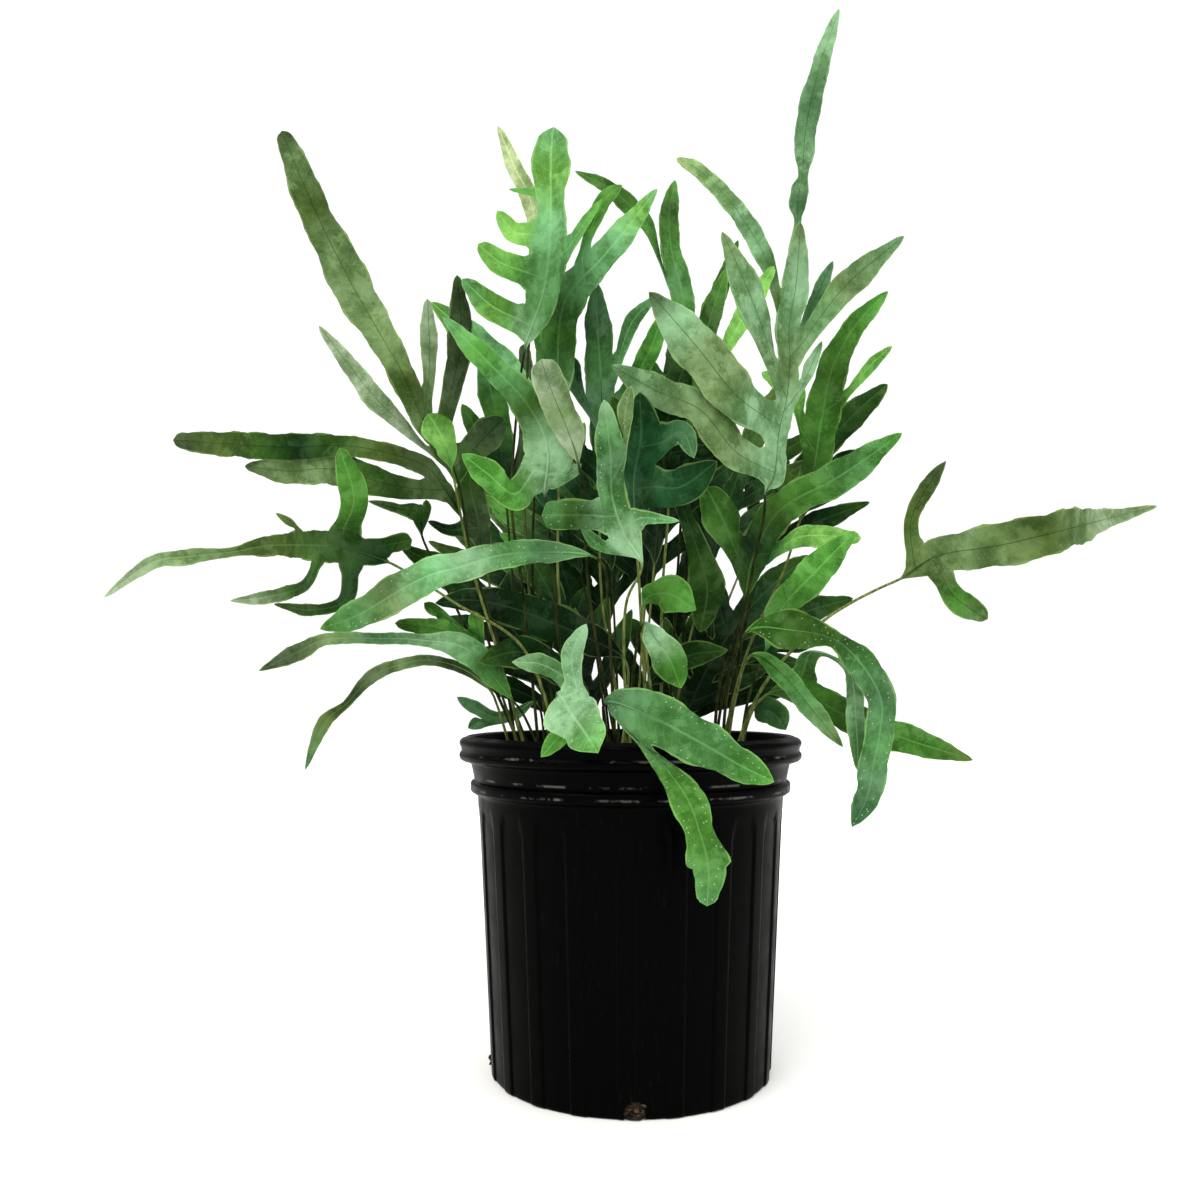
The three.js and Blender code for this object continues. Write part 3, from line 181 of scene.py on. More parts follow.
# Fronds laid out one by one: name, tone, layer, how far right of the pot's middle the stipe leaves
# the soil, the spots of the stipe and of the blade's spine, the blade's widths in millimetres, and
# the colours that it passes through from base to tip. Then come its lobes: how far up the blade
# each grows, from 0 at its base to 1 at its tip, and its own spots, widths and colours. A spot is
# (across, down) as seen from the front, with a third number where it stands off its layer, towards
# the back if positive. "underside" fronds turn their paler underside to the front, and "dotted"
# ones have rows of pale dots inside their margins.
FRONDS = [
    frond("tall_left", "sage", -0.215, -82, "499,646 483,596 469,546",
        "459,486 445,450 425,425 400,370 350,282 312,205 282,131", "5 15 15 19 29 22 10",
        "moss sage sage olive sage sage sage sage olive sage umber",
        lobe(0.09, "377,400 350,366 319,326", "17 16 12 3", "ash ash"),
        lobe(0.2, "429,352 427,299", "15 14 5", "sage ash"),
        lobe(0.07, "460,340 457,275", "18 19 5", "umber umber"),
        lobe(0.02, "486,436 504,418", "22 26 10", "moss umber pine"), underside=True),
    frond("left_level", "olive", 0.02, -72, "488,640 470,570",
        "461,517 443,488 426,467 390,454 346,446 290,447 225,444 173,440",
        "5 12 14 14 16 21 20 11", "moss sage olive moss pine moss olive umber",
        lobe(0.1, "395,486 330,469 290,471 245,466", "22 24 24 20 4",
             "olive moss moss sage sage umber"), underside=True),
    frond("left_claw", "deep", -0.42, -50, "523,648 455,603 420,580",
        "388,562 345,548 300,545 265,546 233,552 185,557 154,562 104,597", "9 23 20 15 7 12 10 2",
        "pine moss olive sage ash", lobe(0.13, "354,500 340,448", "18 21 7", "leaf leaf"),
        lobe(0.34, "276,513", "9 2", "olive"),
        lobe(0.22, "304,585 268,597 230,601", "14 13 10 2", "pine moss ash"),
        lobe(0.09, "345,600 311,610 274,604", "12 11 9 2", "pine moss"),
        lobe(0.03, "412,540", "12 12", "pine moss")),
    frond("front_long", "blue", -0.86, -12, "612,684 608,610 604,566",
        "592,556 540,552 501,555 460,567 430,575 400,590 360,614 320,629",
        "4 16 18 20 22 24 19 3", "jade slate jade mist mint sage jade leaf", dotted=True),
    frond("low_left", "blue", -0.33, -62, "522,712",
        "512,700 490,672 465,648 421,640 370,638 324,640 298,652 259,671", "5 17 20 9 8 9 13 2",
        "leaf jade mist slate sage umber umber"),
    frond("low_left_droop", "olive", -0.1, -86, "497,705",
        "490,690 463,669 426,660 395,666 371,677 347,703 325,722 305,770", "4 8 8 9 10 6 10 2",
        "sage umber sage umber olive slate"),
    frond("rim_left", "fresh", 0.14, -64, "", "536,702 515,714 495,717 475,708 457,697",
        "4 9 9 10 4", "jade slate", lobe(0.45, "480,722 468,728", "12 11 5", "jade slate")),
    frond("small_left", "deep", -0.27, -78, "500,690", "487,660 470,642 440,630 395,623",
        "4 12 15 6", "pine leaf moss", lobe(0.16, "473,611", "14 7", "pine leaf moss"),
        lobe(0.42, "424,603", "11 7", "pine leaf moss"), underside=True),
    frond("dark_low", "deep", -0.165, -8, "628,690",
        "625,660 592,640 550,622 505,606 470,600 435,603", "5 24 30 26 17 3",
        "night night pine night pine"),
    frond("front_small", "blue", -0.96, -42, "556,712,-16",
        "558,694,-34 570,712,-54 586,734,-72 598,753,-80", "12 34 26 3", "mist mist fresh",
        lobe(0.08, "572,655,-30 586,624,-26", "11 14 5", "slate mist"), dotted=True),
    frond("rim_bright", "fresh", -0.9, -34, "589,744,-4",
        "584,724,-22 573,725,-40 559,737,-50 541,757,-52", "3 9 12 4", "leaf fresh"),
    frond("front_big", "blue", -1, -17, "604,722,-8",
        "606,702,-26 650,716,-44 700,742,-56 740,765,-62 774,782,-66", "14 31 29 20 5",
        "slate jade jade fresh",
        lobe(0.2, "660,762,-46 688,800,-60 699,830,-62 708,865,-60 707,906,-58",
             "24 24 24 18 27 18 6", "jade leaf leaf jade", lift=0), dotted=True),
    frond("front_leaf", "blue", -0.93, 2, "632,690",
        "644,622,-6 655,638,-12 670,660,-18 681,688,-20", "4 15 23 5", "slate mist leaf fresh",
        dotted=True),
    frond("curled", "fresh", -0.66, 20, "652,700 646,650", "643,606 652,595 670,594 696,610",
        "5 15 25 3", "leaf leaf fresh"),
    frond("pale_top", "pale", -0.3, -66, "524,600 512,510 516,420",
        "526,345 538,310 546,280 550,245 551,205 551,165 552,143 554,127",
        "9 22 25 24 19 27 22 9", "mist jade jade mint lime mint",
        lobe(0.1, "492,306 462,279", "22 20 6", "jade lime mint"),
        lobe(0.33, "500,262 478,244", "20 18 9", "fresh lime"),
        lobe(0.47, "515,232 497,211", "17 15 6", "lime"),
        lobe(0.46, "585,222 602,199", "11 7 2", "jade fresh")),
    frond("yellow_tip", "pale", -0.08, -58, "530,600 524,480",
        "530,330 538,250 529,195 516,170 498,126", "5 14 14 12 3",
        "leaf lime straw cream cream cream"),
    frond("long_pale", "pale", -0.12, -38, "559,595 558,520",
        "562,410 558,360 566,300 604,256 657,189", "7 26 27 20 3",
        "mist jade leaf jade mint mint lime mint",
        lobe(0.42, "560,232 546,198 509,189", "11 9 8 2", "jade fresh"),
        lobe(0.58, "594,222 607,197 622,185", "14 12 11 3", "fresh leaf")),
    frond("upright", "fresh", 0.1, 40, "684,620 690,480",
        "690,380 685,320 680,284 671,248 669,213 675,180", "7 17 18 16 15 3",
        "leaf moss leaf jade leaf moss fresh",
        lobe(0.5, "646,222 629,205 609,188 575,171", "13 14 15 11 2", "leaf leaf moss leaf"),
        lobe(0.2, "716,300 738,240", "16 16 3", "leaf moss")),
    frond("teal_mid", "blue", -0.02, 0, "602,600 600,500", "602,440 601,385 598,330 596,281",
        "7 22 20 4", "teal slate jade slate slate",
        lobe(0.42, "632,322 655,297", "15 12 3", "mint jade"),
        lobe(0.18, "646,358 664,312", "17 17 4", "leaf fresh"),
        lobe(0.14, "570,370 556,345", "20 18 5", "slate")),
    frond("tall_right", "sage", -0.48, 58, "721,676 744,610 756,554 764,516",
        "766,491 773,478 778,432 786,397 789,361 788,328 795,286 800,222",
        "6 15 15 14 15 17 19 5", "mist mist mist sage mist mist sage",
        lobe(0.09, "735,452 700,410 655,390 612,365", "25 27 21 22 3", "sage sage mist"),
        lobe(0.24, "738,398 695,345 649,292", "25 33 31 4", "sage mist sage sage mist umber"),
        lobe(0.43, "752,302 722,232", "22 22 3", "sage mist sage"),
        lobe(0.55, "842,290 904,236", "20 21 3", "mint sage mist"),
        lobe(0.4, "822,341", "14 3", "mist"), underside=True),
    frond("spike", "sage", 0.2, 72, "742,640 775,500",
        "782,400 788,320 796,240 798,221 798,203 800,189 803,177 804,150 810,108 822,60 839,9",
        "6 15 9 6 15 14 8 17 18 14 3", "slate slate sage mist slate mist slate mist mist",
        lobe(0.24, "767,261 733,205 699,171 677,158", "20 18 16 13 4", "jade mist straw"),
        lobe(0.16, "820,290 833,261", "14 12 3", "slate"), underside=True),
    frond("right_green", "deep", -0.06, 66, "748,650 784,570",
        "800,520 812,480 822,420 832,370 856,325 888,291", "6 22 28 24 16 3",
        "pine moss leaf moss leaf fresh", lobe(0.52, "872,364 892,346", "10 9 3", "fresh lime"),
        lobe(0.36, "796,396 762,372", "22 20 4", "leaf lime")),
    frond("right_fan", "fresh", -0.28, 60, "724,690 738,640",
        "745,598 752,560 778,512 840,476 902,433", "7 22 25 25 4",
        "moss pine moss leaf jade fresh", lobe(0.14, "724,522 706,487", "26 28 12", "moss leaf"),
        lobe(0.2, "800,537 861,538", "17 18 8", "fresh lime lime")),
    frond("right_bright", "fresh", -0.36, 78, "748,700", "766,650 780,611 815,572 855,531",
        "5 20 25 5", "jade leaf fresh fresh"),
    frond("outlier", "sage", -0.54, 70, "762,688 821,623 849,604 880,588",
        "902,578 935,557 1001,545 1074,527 1157,506", "8 26 30 26 3",
        "olive sage olive sage ash sage",
        lobe(0.06, "911,520 926,489 946,461", "14 13 12 2", "moss olive umber"),
        lobe(0.1, "955,597 988,619", "18 20 9", "moss leaf sage"), underside=True),
    frond("right_low", "blue", -0.74, 62, "728,690",
        "748,631 790,630 835,640 862,665 881,700 880,730 872,772 867,797 852,827",
        "8 28 12 22 20 20 21 18 3", "leaf moss moss jade slate jade slate teal", dotted=True),
    frond("right_sage", "sage", -0.62, 66, "735,700", "752,655 782,674 814,712 843,747",
        "7 14 14 2", "leaf jade sage", underside=True),
    frond("right_trailing", "fresh", -0.44, 76, "752,712",
        "768,694 800,690 840,713 900,737 973,760", "6 20 22 22 3",
        "moss leaf moss leaf leaf olive",
        lobe(0.12, "812,652,-4 847,668,-12 856,724,-12 858,771,-12", "11 10 12 13 3",
             "jade mist jade", lift=0)),
    frond("rim_right", "deep", -0.24, 84, "", "750,706 762,708 776,716 786,730", "5 20 18 5",
        "pine jade"),
    frond("blue_front", "blue", -0.8, 0, "624,663 627,600",
        "642,564 626,537 613,499 610,450 604,400", "4 20 18 18 5",
        "mist mist jade slate jade mist",
        lobe(0.28, "590,515 542,515", "18 21 19", "slate moss jade"),
        lobe(0.24, "640,518 679,521", "12 8 2", "jade mint"),
        lobe(0.12, "600,545 581,527", "13 10 3", "jade"),
        lobe(0.66, "625,415 631,386", "12 11 4", "sage"), dotted=True),
    frond("pale_left", "pale", -0.7, -34, "559,640 553,560",
        "545,494 548,448 528,405 488,362 443,317", "7 31 21 17 3",
        "mist mist moss jade fresh mint", lobe(0.09, "564,476 581,464", "15 12 4", "jade mist"),
        lobe(0.09, "515,494 488,474 462,454", "20 22 19 4", "leaf fresh fresh")),
    frond("ash", "pale", -0.75, -8, "590,600 584,520", "579,466 569,432 554,395 542,359",
        "3 19 21 16", "sage ash sage ash ash", underside=True),
    frond("teal_centre", "blue", -0.6, 12, "640,600", "635,514 634,480 641,436 640,392",
        "8 28 27 6", "slate teal teal pine",
        lobe(0.2, "680,487 717,461", "26 26 4", "teal teal pine"),
        lobe(0.54, "682,432 694,458", "15 14 4", "teal slate")),
    frond("mint", "pale", 0.08, -48, "534,600", "532,430 512,378 474,340 431,302", "7 25 25 4",
        "leaf mint mint lime", lobe(0.2, "543,352 535,310", "16 14 3", "leaf jade")),
    frond("dark_left", "deep", -0.05, -76, "498,650", "487,566 478,520 470,480 482,436",
        "6 20 22 6", "pine umber moss pine", lobe(0.3, "448,530 428,521", "11 8 3", "pine")),
    frond("small_round", "fresh", -0.26, -74, "500,660 470,560",
        "452,470 446,448 438,430 428,414", "4 16 23 12", "leaf lime lime"),
    frond("mid_right", "fresh", 0.045, 28, "676,600 684,480", "690,430 698,370 712,312 727,268",
        "6 19 17 3", "moss leaf moss leaf",
        lobe(0.3, "727,345 752,302 774,266", "16 16 15 6", "leaf lime lime"),
        lobe(0.2, "662,385 640,350", "19 18 4", "pine leaf")),
    frond("mid_dark", "deep", -0.4, 22, "662,600", "668,505 664,450 672,402 690,352", "6 26 24 4",
        "night pine moss", lobe(0.06, "696,545 707,590 700,632", "14 19 25 6", "pine moss"),
        lobe(0.26, "704,460 738,436", "22 20 4", "night pine"),
        lobe(0.22, "628,430 612,396", "18 17 4", "moss")),
    frond("mid_left", "deep", 0.2, -46, "520,620", "506,500 500,440 492,396 480,356", "6 22 22 4",
        "night pine leaf mint", lobe(0.14, "526,428 524,344", "20 22 8", "umber umber umber"),
        lobe(0.3, "476,430 462,404", "18 16 4", "pine leaf")),
    frond("thin_left", "olive", -0.14, -76, "462,620 431,557", "422,536 418,514 396,508 368,501",
        "4 13 7 2", "pine moss umber", lobe(0.2, "426,500", "9 5", "moss"), underside=True),
    frond("low_centre", "deep", -0.5, 20, "", "648,690 660,672 690,655 728,650", "4 15 18 3",
        "night pine moss"),
    frond("low_front", "blue", -0.88, -56, "", "574,712 566,680 540,664 512,662", "4 12 14 3",
        "leaf mist"),
    frond("low_middle", "olive", -0.39, -24, "", "590,700 560,672 520,652 478,662", "5 20 24 3",
        "night night pine moss"),
]

# Fronds at the rear, laid out by a rule: those further back have shorter stipes and arch out more.
REAR_FRONDS = 15
REAR_LAYERS = (0.3, 1.0)
REAR_LEANS = [0.1, -0.28, 0.36, -0.05, -0.45, 0.47, -0.2, 0.26]
REAR_STIPES = (185.0, 115.0)
REAR_BLADES = (215.0, 205.0)
REAR_ARCH = (10.0, 90.0)
REAR_RISE = 260.0
REAR_SINK = 0.2
REAR_WIDTHS = [6, 17, 18, 21, 24, 5]
REAR_LOBE_PAIRS = 3
REAR_LOBE = dict(first=0.08, apart=0.17, stagger=0.06, reach=96.0, shrink=16.0, width=19.0)
REAR_LOBE_SWEEP = dict(up=0.75, aside=0.68, bend=0.85)
REAR_LEAN_SHARES = (0.35, 0.65)
REAR_STIPE_KNOTS = (0.35, 0.7)
REAR_ROOT_REACH = 70.0
REAR_TONES = ["deep", "fresh", "olive", "blue", "fresh"]
# The rear fronds' colours are nearly black at their bases and lighter towards their tips: painted
# shade deep inside the crown.
REAR_SHADED_TINTS = {
    "deep": "night night pine moss", "fresh": "night pine moss leaf fresh",
    "olive": "night pine moss olive", "blue": "night pine teal slate",
}

# Every third rear frond stays low and leans far out: its lobes fill the crown's foot.
LOW_TURN = 3
LOW_LEANS = [-0.75, 0.68, -0.32, 0.9, 0.3]
LOW_STIPE = 26.0
LOW_BLADE = 188.0
LOW_ROOT_REACH = 42.0
LOW_REACH = 0.8
LOW_LIFT = 1.2

# The rule's draws: the least that comes out and how much more it can be.
DRAW_FACTOR, DRAW_PRIME = 16807, 2147483647
STIPE_DRAW = (0.85, 0.3)
BLADE_DRAW = (0.9, 0.2)
LEAN_DRAW = (0.85, 0.3)
LOBE_AT_DRAW = (0.0, 0.03)
LOBE_REACH_DRAW = (0.8, 0.35)
LOBE_WIDTH_DRAW = (0.0, 4)
ROOT_DRAW = 12

# How many times brighter than white paper in plain light the studio makes things look.
STUDIO_LIGHT = 1.22


def tone(red, green, blue):
    """The colour that looks in the studio like the given one, 0 to 255, on a screen: light goes by
    the usual 2.2 power."""
    return tuple((value / 255.0) ** 2.2 / STUDIO_LIGHT for value in (red, green, blue))


# The tones in which the fronds' materials are made.
TONES = ("sage", "fresh", "deep", "blue", "olive", "pale")

# Leaf colours as they look in even light. The darkest of them is painted shade, for leaves deep in
# the crown's foot.
PALETTE = {
    "ash": tone(146, 168, 134), "sage": tone(114, 143, 92), "olive": tone(82, 104, 50),
    "moss": tone(56, 90, 34), "pine": tone(24, 56, 22), "night": tone(10, 33, 8),
    "leaf": tone(78, 132, 54), "fresh": tone(94, 162, 70), "lime": tone(134, 198, 96),
    "straw": tone(154, 188, 116), "cream": tone(204, 224, 168), "mint": tone(120, 184, 122),
    "jade": tone(88, 142, 82), "mist": tone(130, 174, 128), "teal": tone(36, 80, 46),
    "slate": tone(84, 126, 86), "umber": tone(68, 86, 56),
}


def tints_along(names, share):
    """Colours at shares from 0 to 1, blended between those named, which stand evenly apart."""
    stops = np.array([PALETTE[name] for name in names.split()])
    where = np.linspace(0.0, 1.0, len(stops)) if len(stops) > 1 else np.array([0.0])
    return np.stack([np.interp(share, where, column) for column in stops.T], axis=-1)


def smoothstep(value, low, high):
    """Rises from 0 at low to 1 at high, level at both ends."""
    part = np.clip((value - low) / (high - low), 0.0, 1.0)
    return part * part * (3.0 - 2.0 * part)


def wave(far, length, phase):
    """A sine of the given length along a distance."""
    return np.sin(2.0 * math.pi * far / length + phase)


def made_unit(vectors, least):
    """Vectors divided by their lengths, which count as the given least where they are shorter."""
    return vectors / np.maximum(np.linalg.norm(vectors, axis=-1, keepdims=True), least)


def sight(across, down, depth):
    """Sight lines from the eye through points of the picture, as far as a depth behind the pot."""
    right = (across - PICTURE / 2) / FOCAL
    up = (PICTURE / 2 - down) / FOCAL
    reach = (depth - EYE[1]) / (math.cos(EYE_TILT) - up * math.sin(EYE_TILT))
    rise = math.sin(EYE_TILT) + up * math.cos(EYE_TILT)
    return np.stack([EYE[0] + right * reach, depth, EYE[2] + rise * reach], axis=-1)


def layer_depth(layer, x, z):
    """How far behind the pot's axis a layer lies: its number times a fan that opens with height and
    closes towards the sides, plus the sway that all layers share."""
    height = np.maximum(0.0, z - SOIL_LEVEL)
    fan = CROWN_DEPTH + CROWN_SPREAD * height
    sway = sum(reach * np.sin(2 * math.pi * (x / along + z / up) + start)
               for reach, along, up, start in SWAYS)
    rise = smoothstep(height, 0.0, SWAY_RISE)
    return layer * fan * (1 - CROWN_ROUND * (x / CROWN_REACH) ** 2) + rise * sway


class PictureChart:
    """A layer as it is seen from the front: across and down the picture, and off the layer."""

    hand = -1.0

    def __init__(self, layer):
        self.layer = layer

    def to_space(self, spots):
        """Meets each sight line with the layer by moving along it until the depth agrees."""
        depth = np.zeros(spots.shape[:-1])
        for _ in range(SIGHT_ROUNDS):
            place = sight(spots[..., 0], spots[..., 1], depth)
            depth = layer_depth(self.layer, place[..., 0], place[..., 2]) + spots[..., 2]
        return sight(spots[..., 0], spots[..., 1], depth)

    def scale(self, places):
        """Picture points per millimetre at a place."""
        away = places - EYE
        return FOCAL / (away[..., 1] * math.cos(EYE_TILT) + away[..., 2] * math.sin(EYE_TILT))

    def from_space(self, place):
        """The spot at which a place is seen: its offset from the line of sight over its distance,
        in picture points, and how far it stands off the layer."""
        away = place - EYE
        scale = self.scale(place)
        upward = -away[1] * math.sin(EYE_TILT) + away[2] * math.cos(EYE_TILT)
        off = place[1] - layer_depth(self.layer, place[0], place[2])
        return (PICTURE / 2 + away[0] * scale, PICTURE / 2 - upward * scale, off)


class PlanChart:
    """A layer in real sizes: to the right and up, and off the layer."""

    hand = 1.0

    def __init__(self, layer):
        self.layer = layer

    def to_space(self, spots):
        """The place of a spot: its depth is the layer's there and how far it stands off."""
        across, up, off = spots[..., 0], spots[..., 1], spots[..., 2]
        return np.stack([across, layer_depth(self.layer, across, up) + off, up], axis=-1)

    def scale(self, places):
        """A chart in real sizes has one point per millimetre everywhere."""
        return np.ones(places.shape[:-1])

    def from_space(self, place):
        """The spot of a place: its right, its height, and how far it stands off the layer."""
        return (place[0], place[2], place[1] - layer_depth(self.layer, place[0], place[2]))


def draws_from(seed):
    """Draws between 0 and 1 that come out the same every time: each is the one before times a
    factor, and what is left of it after division by a large prime."""
    state = seed
    while True:
        state = (state * DRAW_FACTOR) % DRAW_PRIME
        yield state / DRAW_PRIME


def drawn(draw, least, spread):
    """The next draw, made to lie between the least and the least plus the spread."""
    return least + spread * next(draw)


def rear_spot(rear, far, aside=0.0):
    """A spot of a rear frond: so far along a way that leans over more and more, and arches out
    behind its layer with the square of its rise."""
    start, more = REAR_LEAN_SHARES
    lean = rear["lean"] * (start + more * (far / rear["length"]))
    rise = far * math.cos(lean) - aside * math.sin(lean)
    out = rear["arch"] * (rise / REAR_RISE) ** 2
    x = rear["root"] + far * math.sin(lean) + aside * math.cos(lean)
    return (x, SOIL_LEVEL + rise - out * REAR_SINK, out)


def rear_lobes(rear, stipe, blade, tints, draw):
    """The lobes of a rear frond, in pairs up both sides of its blade."""
    lobes = []
    for pair in range(REAR_LOBE_PAIRS):
        for side in (-1, 1):
            stagger = REAR_LOBE["stagger"] if side > 0 else 0.0
            at = REAR_LOBE["first"] + REAR_LOBE["apart"] * pair + stagger
            at += drawn(draw, *LOBE_AT_DRAW)
            reach = REAR_LOBE["reach"] - REAR_LOBE["shrink"] * pair
            reach *= drawn(draw, *LOBE_REACH_DRAW) * (LOW_REACH if rear["low"] else 1.0)
            path = []
            for part in (0.5, 1.0):
                far = stipe + blade * at + reach * REAR_LOBE_SWEEP["up"] * part
                aside = side * reach * REAR_LOBE_SWEEP["aside"] * part ** REAR_LOBE_SWEEP["bend"]
                path.append(rear_spot(rear, far, aside))
            width = REAR_LOBE["width"] + drawn(draw, *LOBE_WIDTH_DRAW)
            lift = side * LOW_LIFT if rear["low"] else None
            widths = [width + 4, width, 3]
            lobes.append(dict(at=at, path=path, widths=widths, tints=tints, lift=lift))
    return lobes


def rear_frond(order, draw):
    """One rear frond, blended from the first to the last by its order."""
    back = order / (REAR_FRONDS - 1)
    low = order % LOW_TURN == 1

    def blend(ends):
        """From the first end to the second by how far back the frond is."""
        return ends[0] + (ends[1] - ends[0]) * back

    stipe = (LOW_STIPE if low else blend(REAR_STIPES)) * drawn(draw, *STIPE_DRAW)
    blade = (LOW_BLADE if low else blend(REAR_BLADES)) * drawn(draw, *BLADE_DRAW)
    leans, turn = (LOW_LEANS, (order - 1) // LOW_TURN) if low else (REAR_LEANS, order)
    lean = leans[turn % len(leans)] * drawn(draw, *LEAN_DRAW)
    spread = LOW_ROOT_REACH if low else REAR_ROOT_REACH * (1 - 0.4 * back)
    root = spread * math.sin(lean * 1.6) + ROOT_DRAW * drawn(draw, -0.5, 1.0)
    rear = dict(root=root, lean=lean, low=low, length=stipe + blade, arch=blend(REAR_ARCH))
    last = len(REAR_WIDTHS) - 1
    shade = "deep" if low else REAR_TONES[order % len(REAR_TONES)]
    tints = REAR_SHADED_TINTS[shade]
    return dict(
        name=f"frond_rear_{order + 1:02d}", tone=shade, rear=True, layer=blend(REAR_LAYERS),
        root=root, stipe=[rear_spot(rear, stipe * knot) for knot in REAR_STIPE_KNOTS],
        spine=[rear_spot(rear, stipe + blade * knot / last) for knot in range(last + 1)],
        widths=REAR_WIDTHS, tints=tints, lobes=rear_lobes(rear, stipe, blade, tints, draw),
        underside=False, dotted=False)


def rear_fronds():
    """All the rear fronds, from the first to the last, from one run of draws."""
    draw = draws_from(SEED)
    return [rear_frond(order, draw) for order in range(REAR_FRONDS)]


class Line:
    """A smooth line through spots of a chart, measured along its real length.

    Between two knots it is a cubic whose slopes come from the chords on both sides, each counted by
    the square root of its length, so that it neither loops nor overshoots."""

    def __init__(self, chart, spots):
        knots = np.array([(spot[0], spot[1], spot[2] if len(spot) > 2 else 0.0) for spot in spots])
        ends = np.concatenate([[2 * knots[0] - knots[1]], knots, [2 * knots[-1] - knots[-2]]])
        gaps = np.sqrt(np.linalg.norm(np.diff(ends, axis=0), axis=1))[:, None]
        chords = np.diff(ends, axis=0) / gaps
        slopes = chords[:-1] - (ends[2:] - ends[:-2]) / (gaps[:-1] + gaps[1:]) + chords[1:]
        part = np.linspace(0.0, 1.0, PER_SPAN, endpoint=False)[None, :, None]
        span = gaps[1:-1, None, :]
        start, end = knots[:-1, None, :], knots[1:, None, :]
        leave, arrive = slopes[:-1, None, :] * span, slopes[1:, None, :] * span
        flats = ((2 * part**3 - 3 * part**2 + 1) * start + (part**3 - 2 * part**2 + part) * leave
                 + (3 * part**2 - 2 * part**3) * end + (part**3 - part**2) * arrive)
        self.flats = np.concatenate([flats.reshape(-1, 3), knots[-1:]])
        self.places = chart.to_space(self.flats)
        steps = np.linalg.norm(np.diff(self.places, axis=0), axis=1)
        self.lengths = np.concatenate([[0.0], np.cumsum(steps)])
        self.length = self.lengths[-1]
        self.knots = self.lengths[::PER_SPAN]
        self.slopes = made_unit(np.gradient(self.flats[:, :2], axis=0), 1e-9)

    def at(self, values, far):
        """Values that are known at each step of the line, blended at given lengths along it."""
        return np.stack([np.interp(far, self.lengths, column) for column in values.T], axis=-1)

    def flat(self, far):
        """The spot of the chart at a length along the line."""
        return self.at(self.flats, far)

    def place(self, far):
        """The place in space at a length along the line."""
        return self.at(self.places, far)

    def slope(self, far):
        """Which way the line runs on the chart, as one long."""
        return made_unit(self.at(self.slopes, far), 1e-9)


def eased_width(knots, widths, far):
    """A width that eases from one knot to the next on half a cosine."""
    span = np.clip(np.searchsorted(knots, far, side="left") - 1, 0, len(knots) - 2)
    part = np.clip((far - knots[span]) / (knots[span + 1] - knots[span]), 0.0, 1.0)
    widths = np.asarray(widths, dtype=float)
    return widths[span] + (widths[span + 1] - widths[span]) * (0.5 - 0.5 * np.cos(math.pi * part))


def half_width(line, knots, widths, far, tip_round):
    """Half the eased width, which falls off with nearly the square of the distance in the last
    span, and closes to a round tip over the last few millimetres."""
    half = eased_width(knots, widths, far) / 2
    part = np.clip((far - knots[-2]) / (knots[-1] - knots[-2]), 0.0, 1.0)
    taper = (widths[-2] + (widths[-1] - widths[-2]) * part**1.9) / 2
    half = np.where(far > knots[-2], 0.3 * half + 0.7 * taper, half)
    left = np.clip((line.length - far) / tip_round, 0.0, 1.0)
    return np.maximum(0.12, half * np.sqrt(1.0 - (1.0 - left) ** 2))


def margin(far, half, phase):
    """How far a blade's edge runs in and out: half its width times one and the swells, and then the
    nicks, which are the product of a short wave and a long one."""
    share = 1.0
    for rise, length, turn in SWELLS:
        share = share + rise * wave(far, length, turn * phase)
    short = NICK
    for length, turn in NICKS:
        short = short * wave(far, length, turn * phase)
    return half * share + short * np.minimum(1.0, half / 6.0)


def relief(far, aside, half, phase, camber, stir):
    """How far a blade stands off its layer: a groove along the rib, edges that bend to one side
    with the square of the distance from the rib, and margins that ripple."""
    reach = aside / np.maximum(half, 0.5)
    size = np.minimum(1.0, half / 9.0)
    start = phase + np.sign(aside)
    ripple = sum(rise * wave(far, length, turn * phase + start) for rise, length, turn in RIPPLES)
    groove = GROOVE[0] * np.exp(-(aside / GROOVE[1]) ** 2) * np.minimum(1.0, half / 4.0)
    return groove + camber * half * reach**2 + stir * ripple * size * np.abs(reach) ** 1.6


def raised_rib(height, spread, reach, half):
    """A rib's height across a blade: a bell curve, lower where the blade is narrow."""
    return height * np.exp(-(reach / spread) ** 2) * np.minimum(1.0, half / 3.0)[:, None]


def grid_quads(grid):
    """The four corners of each quad between the rows and columns of a grid."""
    return np.stack([grid[:-1, :-1], grid[:-1, 1:], grid[1:, 1:], grid[1:, :-1]], axis=2)


class Sheet:
    """Collects grids of points that share their seams, and what each grid paints with."""

    def __init__(self):
        self.points, self.ribs, self.quads, self.facts = [], [], [], []
        self.count = 0

    def add_points(self, places, ribs):
        """Takes in a grid of places and the height of the rib at each, and numbers them."""
        indices = np.arange(self.count, self.count + ribs.size).reshape(ribs.shape)
        self.points.append(places.reshape(-1, 3))
        self.ribs.append(ribs.reshape(-1))
        self.count += ribs.size
        return indices

    def add_grid(self, indices, facts):
        """Quads between the rows and columns of a grid, with the facts at each corner."""
        self.quads.append(grid_quads(indices).reshape(-1, 4))
        self.facts.append(grid_quads(facts).reshape(-1, 4, facts.shape[-1]))

    def gather(self):
        """All the grids as one set of points, ribs, quads and facts."""
        return [np.concatenate(part) for part in (self.points, self.ribs, self.quads, self.facts)]


def point_normals(points, quads):
    """The sum of the normals of the quads round each point, made one long."""
    corner = [points[quads[:, place]] for place in range(4)]
    across = np.cross(corner[2] - corner[0], corner[3] - corner[1])
    normals = np.zeros_like(points)
    for place in range(4):
        np.add.at(normals, quads[:, place], across)
    return made_unit(normals, 1e-12)


